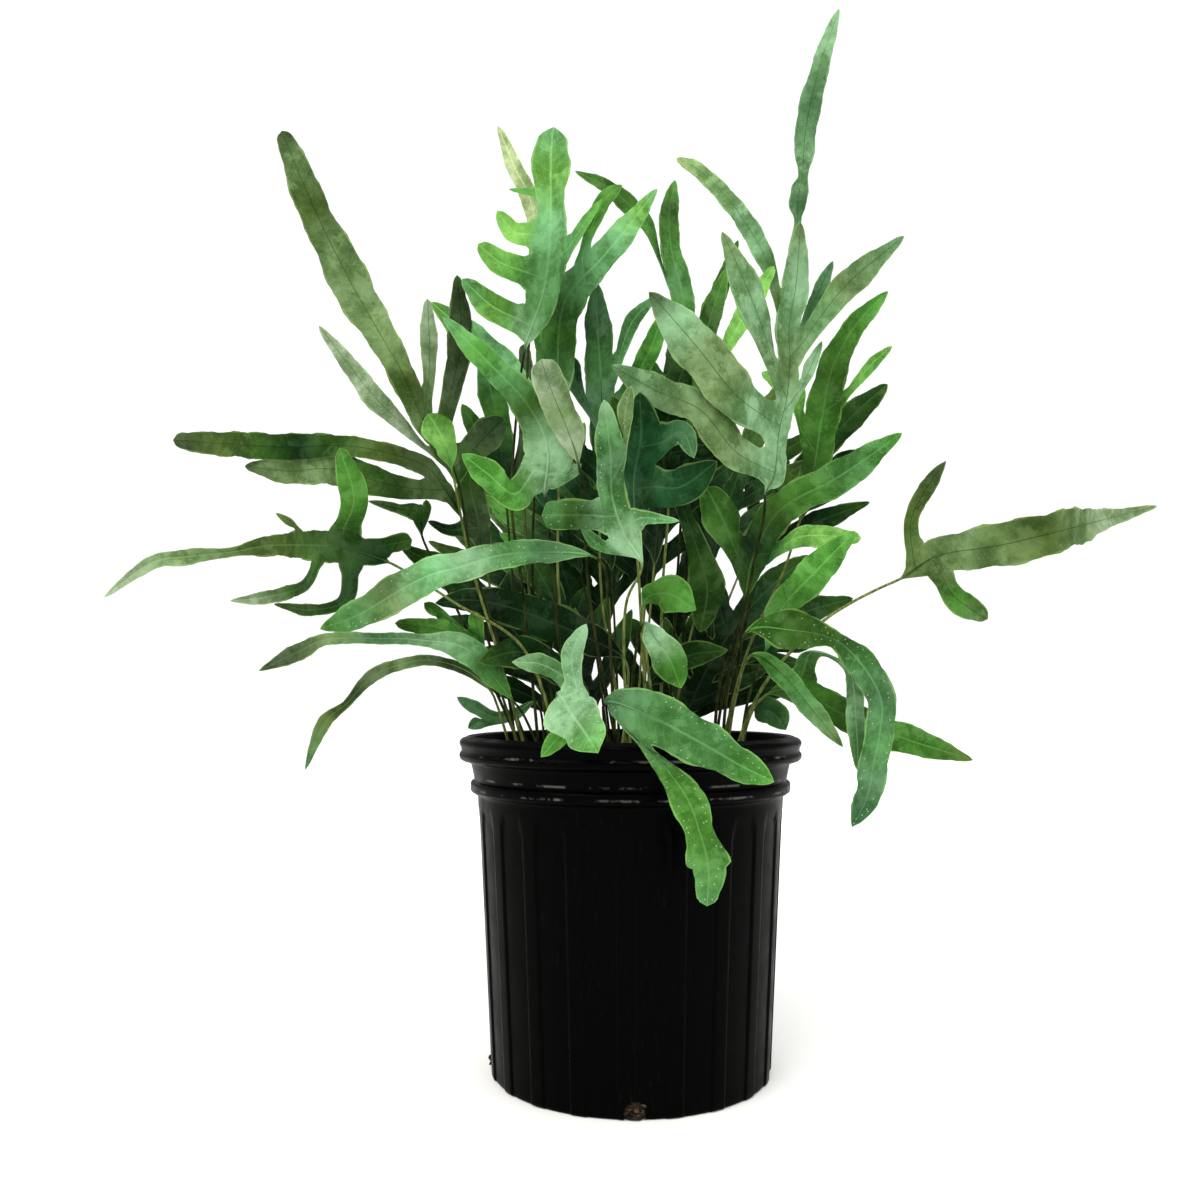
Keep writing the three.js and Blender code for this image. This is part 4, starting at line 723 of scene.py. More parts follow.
def thickened(points, ribs, quads, facts, thickness, under_front):
    """A sheet made solid: a front and a back skin half a thickness to each side, the ribs standing
    out of the leaf's underside, and a strip round every open edge. The last fact says which skin is
    the leaf's underside. The edges of the strip come with it, as pairs of points."""
    normals = point_normals(points, quads)
    if normals[:, 1].mean() > 0:
        quads = quads[:, ::-1]
        facts = facts[:, ::-1]
        normals = -normals
    front_rib, back_rib = (ribs, 0.0 * ribs) if under_front else (0.0 * ribs, ribs)
    front = points + normals * (thickness / 2 + front_rib)[:, None]
    back = points - normals * (thickness / 2 + back_rib)[:, None]
    count = len(points)
    starts = quads.reshape(-1)
    ends = np.roll(quads, -1, axis=1).reshape(-1)
    keys = np.minimum(starts, ends) * count + np.maximum(starts, ends)
    _, first, uses = np.unique(keys, return_index=True, return_counts=True)
    lone = first[uses == 1]
    start_facts = facts.reshape(-1, facts.shape[-1])[lone]
    end_facts = np.roll(facts, -1, axis=1).reshape(-1, facts.shape[-1])[lone]
    start, end = starts[lone], ends[lone]
    rim = np.stack([end, start, start + count, end + count], axis=-1)
    rim_facts = np.stack([end_facts, start_facts, start_facts, end_facts], axis=1)
    skins = [(facts, under_front), (facts[:, ::-1], not under_front), (rim_facts, False)]
    all_facts = [np.concatenate([values, np.full(values.shape[:-1] + (1,), float(under))], axis=-1)
                 for values, under in skins]
    lips = np.stack([start, end], axis=1)
    return (np.concatenate([front, back]), np.concatenate([quads, quads[:, ::-1] + count, rim]),
            np.concatenate(all_facts), np.concatenate([lips, lips + count]))


def closed_rings(rings, first, last):
    """Rings of points, one after another, each joined to the next by quads. A point at each end
    closes them with a fan of triangles."""
    rows, sides = rings.shape[:2]
    count = rows * sides
    ring = np.arange(count).reshape(rows, sides)
    turned = np.roll(ring, -1, axis=1)
    quads = np.stack([ring[:-1], turned[:-1], turned[1:], ring[1:]], axis=-1).reshape(-1, 4)
    foot = np.stack([turned[0], ring[0], np.full(sides, count)], axis=-1)
    head = np.stack([ring[-1], turned[-1], np.full(sides, count + 1)], axis=-1)
    points = np.concatenate([rings.reshape(-1, 3), [first, last]])
    return points, quads, np.concatenate([foot, head])


def tube(line, stations, radii):
    """A round bar along a line: its middle plus the radius times the cosine of each turn to one
    side and its sine to the other."""
    middles = line.place(stations)
    along = made_unit(np.gradient(middles, axis=0), 1e-12)
    across = made_unit(np.cross(along, np.array([0.35, -0.9, 0.25])), 1e-12)
    outward = np.cross(along, across)
    turns = 2 * math.pi * np.arange(STIPE_SIDES)[None, :, None] / STIPE_SIDES
    rings = middles[:, None, :] + radii[:, None, None] * (
        across[:, None, :] * np.cos(turns) + outward[:, None, :] * np.sin(turns))
    return closed_rings(rings, middles[0], middles[-1])


class Blade:
    """One frond's leaf: the two halves of its spine and its lobes, as one sheet of shared points.

    Each corner carries along, across and rim (the distance to the nearest edge), and branch (the
    signed distance to the line of the nearest lobe's rib where it crosses the spine), all in
    metres, and then its colour."""

    def __init__(self, frond, order, step):
        self.frond = frond
        self.phase = order * FROND_TURN
        self.step = step
        self.camber = CAMBER * math.sin(1.7 * order + 0.6)
        self.chart = (PlanChart if frond["rear"] else PictureChart)(frond["layer"])
        self.sheet = Sheet()
        foot = np.array([frond["root"], 0.0, SOIL_LEVEL])
        foot[1] = layer_depth(frond["layer"], foot[0], foot[2])
        deep = foot - np.array([0.0, 0.0, STIPE_DEPTH])
        rooted = [self.chart.from_space(deep), self.chart.from_space(foot)]
        self.line = Line(self.chart, rooted + frond["stipe"] + frond["spine"])
        self.knots = self.line.knots[2 + len(frond["stipe"]):]
        self.base = self.knots[0]
        self.span = self.line.length - self.base
        self.make_spine()
        self.make_lobes()

    def outward(self, line, far, side=1):
        """The way across the chart from a line to one side: its slope turned a quarter round."""
        slope = line.slope(far)
        return np.stack([slope[..., 1], -slope[..., 0]], axis=-1) * self.chart.hand * side

    def spot_rows(self, line, far, reaches, offs):
        """Chart spots for rows along a line: each moved aside by its reach and off the layer."""
        middle = line.flat(far)
        reaches = reaches * self.chart.scale(line.place(far))[:, None]
        flat = middle[:, None, :2] + self.outward(line, far)[:, None, :] * reaches[..., None]
        return np.concatenate([flat, middle[:, None, 2:] + offs[..., None]], axis=-1)

    def lobe_runs(self, far):
        """Which stations of which side each lobe grows from, in order up the blade."""
        taken = {1: 2, -1: 2}
        runs = []
        for lobe in sorted(self.frond["lobes"], key=lambda lobe: lobe["at"]):
            centre = self.base + self.span * lobe["at"]
            away = np.array(lobe["path"][0][:2]) - self.line.flat(centre)[:2]
            side = 1 if away @ self.outward(self.line, centre) > 0 else -1
            reach = lobe["widths"][0] / 2 + LOBE_FLARE
            start = max(int(np.searchsorted(far, centre - reach)), taken[side])
            steps = max(3, round(reach / self.step))
            end = min(start + 2 * steps, len(far) - 3)
            end -= (end - start) % 2
            if end - start < 4:
                raise ValueError(f"{self.frond['name']}: no room for the lobe at {lobe['at']}")
            taken[side] = end + 1
            runs.append((lobe, side, start, end))
        return runs

    def make_spine(self):
        """The spine's two halves: rows along the frond's line, columns from the rib to the edge, a
        little closer together near the rib. Both halves share the points of the rib."""
        rows = max(12, round(self.span / self.step)) + 1
        far = np.linspace(self.base - 3.0, self.line.length, rows)
        half = half_width(self.line, self.knots, self.frond["widths"], far, BLADE_TIP)
        half = half * (0.12 + 0.88 * smoothstep(far, self.base - 3.0, self.base + 9.0))
        self.far, self.half = far, half
        self.runs = self.lobe_runs(far)
        stir = np.ones(rows)
        if self.runs:
            last = far[max(run[3] for run in self.runs)]
            stir = 0.3 + 0.7 * smoothstep(far, last, last + LIFT_RUN)
        share = np.linspace(0.0, 1.0, HALF_COLUMNS + 1) ** 1.15
        tints = tints_along(self.frond["tints"], (far - self.base) / self.span)
        self.edges, rib_line = {}, None
        for side in (1, -1):
            reach = margin(far, half, self.phase + side)[:, None] * share
            offs = relief(far[:, None], side * reach, half[:, None], self.phase, self.camber,
                          stir[:, None])
            spots = self.spot_rows(self.line, far, side * reach, offs)
            places = self.chart.to_space(spots)
            ribs = raised_rib(*SPINE_RIB, reach, half)
            rim, branch = self.spine_facts(side, reach)
            facts = self.facts(far - self.base, side * reach, rim, branch, tints)
            if rib_line is None:
                indices = self.sheet.add_points(places, ribs)
                rib_line = indices[:, :1]
            else:
                indices = self.sheet.add_points(places[:, 1:], ribs[:, 1:])
                indices = np.concatenate([rib_line, indices], axis=1)
            self.sheet.add_grid(indices[:, ::side], facts[:, ::side])
            self.edges[side] = (indices[:, -1], spots[:, -1])

    def facts(self, along, across, rim, branch, tints):
        """What the corners of a grid carry: distances in metres, then a colour for each row."""
        along = np.broadcast_to(along[:, None], across.shape)
        colours = np.broadcast_to(tints[:, None, :], across.shape + (3,))
        distances = np.stack([along, across, rim, branch], axis=-1) * MM
        return np.concatenate([distances, colours], axis=-1)

    def spine_facts(self, side, reach):
        """Distance to the edge, which doesn't count where a lobe grows, and to the lobes' ribs."""
        far = self.far
        rim = np.minimum(self.half[:, None] - reach, (self.line.length - far)[:, None])
        branch = np.full(reach.shape, NO_BRANCH)
        for lobe, lobe_side, start, end in self.runs:
            if lobe_side != side:
                continue
            inside = smoothstep(far, far[start], far[start] + 3.0)
            inside = inside * (1 - smoothstep(far, far[end] - 3.0, far[end]))
            rim = rim + 9.0 * inside[:, None]
            centre = (start + end) // 2
            edge = self.half[centre]
            slant = edge * self.lobe_slant(lobe, far[centre], side)
            fork = far[centre] - slant
            apart = ((far[:, None] - fork) * edge - reach * slant) / math.hypot(edge, slant)
            branch = np.where(np.abs(apart) < np.abs(branch), apart, branch)
        return rim, branch

    def lobe_slant(self, lobe, far, side):
        """How far up the spine a lobe's rib moves while it crosses it, per distance crossed."""
        away = np.array(lobe["path"][0][:2]) - self.line.flat(far)[:2]
        crossed = max(away @ self.outward(self.line, far, side), 1e-6)
        return float(np.clip((away @ self.line.slope(far)) / crossed, 0.2, 2.0))

    def make_lobes(self):
        """Each lobe grows out of a run of corners of the spine's edge, which is its first row.
        Neighbouring lobes lean to the front and to the back in turn."""
        lifts = {1: LIFT, -1: LIFT}
        for order, (lobe, side, start, end) in enumerate(self.runs):
            ids, root = (part[start:end + 1][::side] for part in self.edges[side])
            lift = lifts[side] if lobe["lift"] is None else lobe["lift"]
            self.grow_lobe(lobe, side, ids, root, self.phase + order, lift)
            lifts[side] = -lifts[side]

    def grow_lobe(self, lobe, side, root_ids, root, phase, lift):
        """A lobe's rows start as the run that it grows from, carried along the lobe's line, and
        turn into rows across it. Its colours start as the spine's."""
        centre = root[len(root) // 2]
        line = Line(self.chart, [tuple(centre)] + lobe["path"])
        rows = max(10, round(line.length / self.step))
        far = np.linspace(0.0, line.length, rows + 1)
        half = half_width(line, line.knots, lobe["widths"], far, LOBE_TIP)
        share = np.linspace(1.0, -1.0, len(root))
        edges = [margin(far, half, phase + way)[:, None] for way in (1, -1)]
        reach = np.where(share >= 0, *edges) * share
        grown = smoothstep(far, 0.0, min(ROOT_RUN, ROOT_BLEND * line.length))[:, None, None]
        start = smoothstep(far, 0.0, 14.0)[:, None]
        raised = lift * smoothstep(far, 0.0, LIFT_RUN)[:, None]
        shape = relief(far[:, None], reach, half[:, None], phase, self.camber, start)
        offs = raised + start * shape + (1 - start) * (root[None, :, 2] - centre[2])
        spots = self.spot_rows(line, far, reach, offs)
        flare = lobe["widths"][0] / (lobe["widths"][0] + 2 * LOBE_FLARE)
        shrink = 1.0 - (1.0 - flare) * smoothstep(far, 0, 9)
        carried = (line.flat(far)[:, None, :2] - line.flat(0.0)[None, None, :2]
                   + centre[:2] + (root[None, :, :2] - centre[:2]) * shrink[:, None, None])
        spots[..., :2] = carried * (1 - grown) + spots[..., :2] * grown
        spots[..., :2] = self.kept_clear(spots[..., :2], far, side)
        spots[0] = root
        places = self.chart.to_space(spots)
        ribs = raised_rib(*LOBE_RIB, reach, half) * start
        indices = np.concatenate([root_ids[None, :], self.sheet.add_points(places[1:], ribs[1:])])
        rim = np.minimum(half[:, None] - np.abs(reach), (line.length - far)[:, None])
        settled = smoothstep(far, -6.0, 0.35 * line.length)[:, None]
        tints = (tints_along(self.frond["tints"], lobe["at"]) * (1 - settled)
                 + tints_along(lobe["tints"], far / line.length) * settled)
        facts = self.facts(far, reach, rim, np.full(reach.shape, NO_BRANCH), tints)
        self.sheet.add_grid(indices[:, ::-1], facts[:, ::-1])

    def kept_clear(self, spots, far, side):
        """Spots near a lobe's root that would lie on the spine are eased out past its edge: their
        distance beyond it goes from t to (t + sqrt(t * t + 4)) / 2, in millimetres."""
        middle = self.line.flat(self.far)[:, :2]
        outward = self.outward(self.line, self.far, side)
        scale = self.chart.scale(self.line.place(self.far))
        flat = spots.reshape(-1, 2)
        near = np.argmin(((flat[:, None, :] - middle[None, :, :]) ** 2).sum(-1), axis=1)
        beyond = ((flat - middle[near]) * outward[near]).sum(-1) / scale[near] - self.half[near]
        eased = 0.5 * (beyond + np.sqrt(beyond**2 + 4.0)) - beyond
        fade = smoothstep(far, 0.0, 6.0) * (1 - smoothstep(far, 24.0, 40.0))
        moved = eased * np.repeat(fade, spots.shape[1]) * scale[near]
        return (flat + outward[near] * moved[:, None]).reshape(spots.shape)

    def stipe(self, radius):
        """The stipe runs up from the soil and thins out along the blade's rib. With it comes how
        far each of its points is a stem's, 1, or a rib's, 0."""
        reach = self.base + min(STIPE_RUN, 0.4 * self.span)
        lower, upper = np.arange(0.0, self.base, 5.0), np.linspace(self.base, reach, 10)
        stations = np.concatenate([lower, upper])
        radii = radius * (1.0 - 0.28 * np.minimum(1.0, stations / self.base))
        radii = radii * (1.0 - 0.82 * smoothstep(stations, self.base - 2.0, reach))
        stem = 1.0 - smoothstep(stations, self.base - 4.0, self.base + 5.0)
        stem = np.concatenate([np.repeat(stem, STIPE_SIDES), [1.0, 0.0]])
        return tube(self.line, stations, radii), stem


def link_to_scene(name, data):
    """An object of its own for a mesh, a light or a camera, in the scene."""
    made = bpy.data.objects.new(name, data)
    bpy.context.scene.collection.objects.link(made)
    return made


def new_object(name, points, faces, material):
    """A mesh object at the origin, in metres, riding on the frame."""
    mesh = bpy.data.meshes.new(name)
    mesh.from_pydata(points * MM, [], faces)
    mesh.validate()
    mesh.polygons.foreach_set("use_smooth", np.ones(len(mesh.polygons), dtype=bool))
    mesh.materials.append(material)
    piece = link_to_scene(name, mesh)
    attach(piece, "root")
    return piece


def mark_sharp(mesh, pairs, count):
    """Marks the edges that join the given pairs of points as sharp."""
    ends = np.empty(2 * len(mesh.edges), dtype=np.int64)
    mesh.edges.foreach_get("vertices", ends)
    ends = ends.reshape(-1, 2)
    keys = ends.min(axis=1) * count + ends.max(axis=1)
    wanted = pairs.min(axis=1) * count + pairs.max(axis=1)
    layer = mesh.attributes.new("sharp_edge", "BOOLEAN", "EDGE")
    layer.data.foreach_set("value", np.isin(keys, wanted))


def add_fact(mesh, name, values):
    """A vector for each face corner, which the materials read by name."""
    layer = mesh.attributes.new(name, "FLOAT_VECTOR", "CORNER")
    layer.data.foreach_set("vector", np.ascontiguousarray(values, dtype=np.float32).reshape(-1))


def side_tints(tints, under, under_front):
    """The tints are those of the side that faces the front. Behind a shown upper side the underside
    is paler and greyer, and behind a shown underside the upper side is darker and greener."""
    if under_front:
        other = tints * np.array([0.55, 0.85, 0.5])
    else:
        other = 0.62 * tints + 0.38 * np.array(PALETTE["ash"])
    shown = (under == float(under_front))[:, None]
    return np.where(shown, tints, other)


def build_frond(frond, order, settings, materials):
    """One frond's piece, in place of its node: the thickened sheet of its blade and its stipe. The
    bar's corners carry facts of their own, after those of the blade."""
    blade = Blade(frond, order, settings.mesh_step / MM)
    name, under = frond["name"], frond["underside"]
    points, quads, facts, sharp = thickened(
        *blade.sheet.gather(), settings.blade_thickness / MM, under)
    (bar, bar_quads, bar_ends), stem = blade.stipe(settings.stipe_thickness / MM / 2)
    count = len(points)
    faces = quads.tolist() + (bar_quads + count).tolist() + (bar_ends + count).tolist()
    piece = new_object(f"{name}_leaf", np.concatenate([points, bar]), faces,
                       materials[frond["tone"]])
    mesh = piece.data
    painted = facts.reshape(-1, 8)
    painted[:, 4:7] = side_tints(painted[:, 4:7], painted[:, 7], under)
    bar_facts = [0.03, 0.0, 0.03, 0.04, *painted[0, 4:7], float(under)]
    bar_stem = np.concatenate([stem[bar_quads.reshape(-1)], stem[bar_ends.reshape(-1)]])
    stem = np.concatenate([np.zeros(len(painted)), bar_stem])
    painted = np.concatenate([painted, np.tile(bar_facts, (len(bar_stem), 1))])
    kind = [float(frond["dotted"]), (order * DRAW_TURN) % 1.0, 0.0]
    add_fact(mesh, "leaf", painted[:, :3])
    add_fact(mesh, "mark", np.column_stack([painted[:, 3], painted[:, 7], stem]))
    add_fact(mesh, "tint", painted[:, 4:7])
    add_fact(mesh, "kind", np.tile(kind, (len(painted), 1)))
    mark_sharp(mesh, sharp, count + len(bar))
    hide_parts(name)


class Graph:
    """The nodes of a material or a world, built up from its inputs. A value is a number, a colour
    or a socket."""

    def __init__(self, owner):
        owner.use_nodes = True
        self.owner, self.tree = owner, owner.node_tree
        self.tree.nodes.clear()

    def add(self, kind, values=(), **settings):
        """A new node of a kind, with its inputs linked or set and its other settings."""
        node = self.tree.nodes.new(kind)
        for name, setting in settings.items():
            setattr(node, name, setting)
        for key, value in dict(values).items():
            socket = node.inputs[key]
            if isinstance(value, bpy.types.NodeSocket):
                self.tree.links.new(value, socket)
            elif socket.type == "RGBA":
                socket.default_value = (*value[:3], 1.0)
            else:
                socket.default_value = value
        return node

    def math(self, operation, *values):
        """The result of one operation on the values."""
        return self.add("ShaderNodeMath", enumerate(values), operation=operation).outputs[0]

    def times(self, first, second):
        """The first value times the second."""
        return self.math("MULTIPLY", first, second)

    def plus(self, value, factor, more):
        """A value times a factor, and more added to it."""
        return self.math("MULTIPLY_ADD", value, factor, more)

    def fade(self, value, low, high, start=0.0, end=1.0, easing="SMOOTHSTEP"):
        """Goes from start to end while the value goes from low to high."""
        values = enumerate([value, low, high, start, end])
        return self.add("ShaderNodeMapRange", values, interpolation_type=easing).outputs[0]

    def mix(self, share, first, second, blend="MIX"):
        """The first colour with a share of the second over it."""
        values = {0: share, 6: first, 7: second}
        return self.add("ShaderNodeMix", values, data_type="RGBA", blend_type=blend).outputs[2]

    def scaled(self, colour, factors, share=1.0):
        """A share of a colour multiplied by three factors."""
        return self.mix(share, colour, factors, "MULTIPLY")

    def vector(self, *values):
        """A vector of up to three values."""
        return self.add("ShaderNodeCombineXYZ", enumerate(values)).outputs[0]

    def parts(self, vector):
        """The three values of a vector."""
        return self.add("ShaderNodeSeparateXYZ", {0: vector}).outputs

    def moved(self, place, offset):
        """A place plus an offset."""
        return self.add("ShaderNodeVectorMath", {0: place, 1: offset}, operation="ADD").outputs[0]

    def stretched(self, place, scale):
        """A place times a scale for each direction."""
        return self.add("ShaderNodeMapping", {"Vector": place, "Scale": scale}).outputs[0]

    def attribute(self, name, output):
        """What the mesh carries under a name."""
        return self.add("ShaderNodeAttribute", attribute_name=name).outputs[output]

    def place(self):
        """Where a point is on the object."""
        return self.add("ShaderNodeTexCoord").outputs["Object"]

    def noise(self, place, scale, detail=3.0, rough=0.55):
        """Soft noise between 0 and 1, with so many waves in a unit of length."""
        values = {"Vector": place, "Scale": scale, "Detail": detail, "Roughness": rough}
        return self.add("ShaderNodeTexNoise", values).outputs["Fac"]

    def cells(self, place, scale, **settings):
        """A pattern of cells, with the distance in it and a colour drawn for each cell."""
        values = {"Vector": place, "Scale": scale}
        return self.add("ShaderNodeTexVoronoi", values, **settings).outputs

    def red(self, colour):
        """The first of a colour's three values."""
        return self.add("ShaderNodeSeparateColor", {0: colour}).outputs[0]

    def bump(self, height, depth, strength):
        """A surface that leans as if it were raised by the height times the depth."""
        values = {"Height": height, "Distance": depth, "Strength": strength}
        return self.add("ShaderNodeBump", values).outputs["Normal"]

    def skin(self, colour, rough, ior, **more):
        """A plain surface. More of its values are given by their names, with _ for a space."""
        values = {"Base Color": colour, "Roughness": rough, "IOR": ior}
        values.update({name.replace("_", " "): value for name, value in more.items()})
        return self.add("ShaderNodeBsdfPrincipled", values).outputs[0]

    def finish(self, shader, output="ShaderNodeOutputMaterial"):
        """Ends the nodes with a shader, and gives what they belong to."""
        self.add(output, {"Surface": shader})
        return self.owner


def new_graph(name):
    """The nodes of a new material."""
    return Graph(bpy.data.materials.new(name))


def leaf_skin_colour(graph, slant, across, draw, tint, place, mottle):
    """A leaf's colour before its ribs, and its pale colour. Its tint goes through darker and
    lighter patches, feathery streaks that run with the side veins, a mottle, a bloom that lies in
    patches, and fine speckles."""
    clouds = graph.fade(graph.noise(place, 30.0, 4.0, 0.62), 0.36, 0.64)
    patches = graph.mix(clouds, (0.50, 0.58, 0.40), (1.36, 1.28, 1.34))
    body = graph.scaled(tint, patches)
    feather_place = graph.vector(
        graph.times(slant, 190.0), graph.times(across, 60.0), graph.times(draw, 40.0))
    feathers = graph.noise(feather_place, 1.0, 4.0, 0.65)
    body = graph.scaled(body, (0.55, 0.62, 0.5), graph.fade(feathers, 0.36, 0.6, 0.4, 0.0))
    body = graph.scaled(body, (0.58, 0.66, 0.55), graph.fade(mottle, 0.38, 0.6, 0.5, 0.0))
    pale = graph.mix(0.08, graph.scaled(tint, (1.7, 1.55, 1.75)), tone(176, 204, 172))
    bloom = graph.noise(graph.moved(place, (3.1, 1.7, 0.4)), 44.0, 5.0, 0.66)
    body = graph.mix(graph.fade(bloom, 0.5, 0.6, 0.0, 0.4), body, pale)
    grain = graph.noise(place, 700.0, 2.0)
    body = graph.mix(graph.fade(grain, 0.55, 0.75, 0.0, 0.2), body, pale)
    return body, pale, feathers


def ribs_and_margin(graph, body, pale, tint, side, rim, branch, under, dots):
    """The rib, as wide as a share of the blade's width there, the ribs that fork off it into the
    lobes, and the pale margin. The ribs are pale above and dark below."""
    share = graph.fade(under, 0.0, 1.0, *RIB_SHARES)
    rib_half = graph.plus(graph.math("ADD", side, rim), share, RIB_LEAST)
    rib = graph.fade(graph.math("DIVIDE", side, rib_half), 0.5, 1.3, 1.0, 0.0)
    fork = graph.fade(graph.math("ABSOLUTE", branch), *FORK_FADE, 0.7, 0.0)
    rib = graph.times(graph.math("MAXIMUM", rib, fork), graph.fade(under, 0.0, 1.0, 0.45, 0.66))
    dark = graph.scaled(tint, (0.22, 0.26, 0.2))
    body = graph.mix(rib, body, graph.mix(under, pale, dark))
    edge = graph.times(graph.fade(rim, *MARGIN_FADE, 1.0, 0.0), graph.plus(dots, 0.15, 0.4))
    return graph.mix(edge, body, graph.mix(0.4, pale, tone(168, 206, 104)))


def dotted(graph, body, along, across, rim, dots, under):
    """Rows of pale dots inside the margin of the upper side: one in some of the cells of a pattern
    that lie in a band a few millimetres from the edge."""
    cells = graph.cells(graph.vector(along, across), DOT_CELLS, voronoi_dimensions="2D")
    picked = graph.fade(graph.red(cells["Color"]), 0.4, 0.5)
    spots = graph.times(graph.fade(cells["Distance"], *DOT_FADE, 1.0, 0.0), picked)
    outer, inner = DOT_BAND
    band = graph.times(graph.fade(rim, *outer), graph.fade(rim, *inner, 1.0, 0.0))
    shown = graph.times(dots, graph.math("SUBTRACT", 1.0, under))
    spots = graph.times(graph.times(spots, band), shown)
    return graph.mix(graph.times(spots, 0.7), body, tone(216, 232, 200))


def stem_colour(graph, place, draw):
    """A stipe's colour: dark or tan by its draw, with streaks along it."""
    streaks = graph.noise(graph.stretched(place, (1.0, 1.0, 0.12)), 420.0, 3.0)
    streaks = graph.fade(streaks, 0.3, 0.7)
    dark = graph.mix(streaks, tone(26, 30, 14), tone(58, 64, 34))
    tan = graph.mix(streaks, tone(74, 88, 40), tone(128, 142, 82))
    return graph.mix(graph.fade(draw, 0.45, 0.75), dark, tan)


def leaf_material(tone_name, gloss):
    """A fern leaf: mottled skin, side veins that leave the rib at a slant and stand evenly apart, a
    net of fine veins, ribs, margin and dots. The stipe has its own colour, and turns green along
    the rib. A little light comes through."""
    graph = new_graph(f"leaf_{tone_name}")
    along, across, rim = graph.parts(graph.attribute("leaf", "Vector"))
    branch, under, stem = graph.parts(graph.attribute("mark", "Vector"))
    dots, draw, _ = graph.parts(graph.attribute("kind", "Vector"))
    tint = graph.attribute("tint", "Color")
    shift = graph.times(draw, 3.0)
    place = graph.moved(graph.place(), graph.vector(shift, draw, shift))
    side = graph.math("ABSOLUTE", across)
    slant = graph.math("SUBTRACT", along, graph.times(side, VEIN_SLANT))
    mottle = graph.noise(place, 130.0, 4.0, 0.6)
    body, pale, feathers = leaf_skin_colour(graph, slant, across, draw, tint, place, mottle)

    wander = graph.times(graph.math("SUBTRACT", mottle, 0.5), 0.009)
    veins = graph.math("PINGPONG", graph.math("ADD", slant, wander), VEIN_PITCH)
    veins = graph.fade(veins, *VEIN_FADE, 1.0, 0.0)
    net = graph.cells(graph.vector(along, across, draw), NET_CELLS, feature="DISTANCE_TO_EDGE")
    net = graph.fade(net["Distance"], *NET_FADE, 1.0, 0.0)
    body = graph.mix(graph.times(veins, 0.12), body, pale)
    body = graph.mix(graph.times(net, 0.09), body, pale)
    body = ribs_and_margin(graph, body, pale, tint, side, rim, branch, under, dots)
    body = dotted(graph, body, along, across, rim, dots, under)
    colour = graph.mix(stem, body, stem_colour(graph, place, draw))

    rough = graph.plus(under, 0.14, graph.fade(mottle, 0.3, 0.7, gloss - 0.06, gloss + 0.08))
    height = graph.plus(veins, -0.4, graph.times(net, -0.2))
    height = graph.plus(mottle, 2.4, graph.plus(feathers, 0.9, height))
    normal = graph.bump(height, 0.0003, 0.9)
    skin = graph.skin(colour, rough, 1.42, Normal=normal, Specular_IOR_Level=0.05)
    warm = graph.mix(0.5, colour, graph.scaled(colour, (1.5, 1.5, 0.6)))
    glow = graph.add("ShaderNodeBsdfTranslucent", {"Color": warm, "Normal": normal}).outputs[0]
    both = graph.add("ShaderNodeMixShader", {0: GLOW, 1: skin, 2: glow}).outputs[0]
    return graph.finish(both)


def pot_material(colour):
    """Black moulded plastic: dull where it is scuffed, with faint upright scratches and dust, and
    painted highlights: pale grey lines along the crests of the rim and the bead."""
    graph = new_graph("pot_plastic")
    place = graph.place()
    scratches = graph.noise(graph.stretched(place, (1.0, 1.0, 0.06)), 900.0, 4.0, 0.7)
    scuffs = graph.noise(place, 34.0, 5.0, 0.65)
    pits = graph.noise(place, 1500.0, 2.0)
    marks = graph.times(graph.fade(scratches, 0.56, 0.74), graph.fade(scuffs, 0.42, 0.62))
    dust = graph.times(graph.fade(scuffs, 0.5, 0.75), 0.3)
    body = graph.mix(dust, colour, tuple(2.2 * value for value in colour))
    body = graph.mix(graph.times(marks, 0.25), body, tone(44, 46, 42))
    level = graph.parts(place)[2]
    # Painted highlights: pale grey lines along the crests of the rim and the bead, broken up by
    # noise, stand in for the light glinting on them.
    highlight_breakup = graph.fade(graph.noise(place, 55.0, 4.0, 0.7), 0.48, 0.62)
    for crest in POT_HIGHLIGHT_LEVELS:
        off = graph.math("ABSOLUTE", graph.math("SUBTRACT", level, crest * MM))
        line = graph.times(graph.fade(off, 0.0002, 0.0012, 0.5, 0.0), highlight_breakup)
        body = graph.mix(line, body, tone(112, 116, 108))
    rough = graph.plus(marks, 0.15, graph.fade(scuffs, 0.3, 0.7, 0.26, 0.44))
    normal = graph.bump(graph.plus(scratches, 0.5, graph.times(pits, 0.5)), 0.00008, 0.6)
    return graph.finish(graph.skin(body, rough, 1.5, Normal=normal, Specular_IOR_Level=0.02))


def soil_material(name, dark, light, scale):
    """Potting soil: dark crumbs of peat with lighter bark and grit between them."""
    graph = new_graph(name)
    place = graph.place()
    crumbs = graph.cells(place, scale)
    bark = graph.fade(graph.red(crumbs["Color"]), 0.86, 0.93, 0.0, 0.75)
    fine = graph.noise(place, scale * 6.0, 4.0, 0.7)
    body = graph.mix(graph.fade(fine, 0.35, 0.7), dark, light)
    body = graph.mix(bark, body, tone(98, 66, 40))
    height = graph.plus(fine, 0.5, graph.math("SUBTRACT", 1.0, crumbs["Distance"]))
    return graph.finish(graph.skin(body, 0.92, 1.4, Normal=graph.bump(height, 0.0012, 0.9)))


def floor_material(colour):
    """A plain matt floor with the faintest unevenness."""
    graph = new_graph("floor_paper")
    lighter = tuple(min(1.0, value * 1.02) for value in colour)
    tint = graph.fade(graph.noise(graph.place(), 3.0, 2.0), 0.3, 0.7)
    return graph.finish(graph.skin(graph.mix(tint, colour, lighter), 0.85, 1.3))


def wall_radius(z):
    """The wall leans out evenly from the foot to the bead."""
    return FOOT_RADIUS + (WALL_TOP_RADIUS - FOOT_RADIUS) * z / BEAD_LEVEL


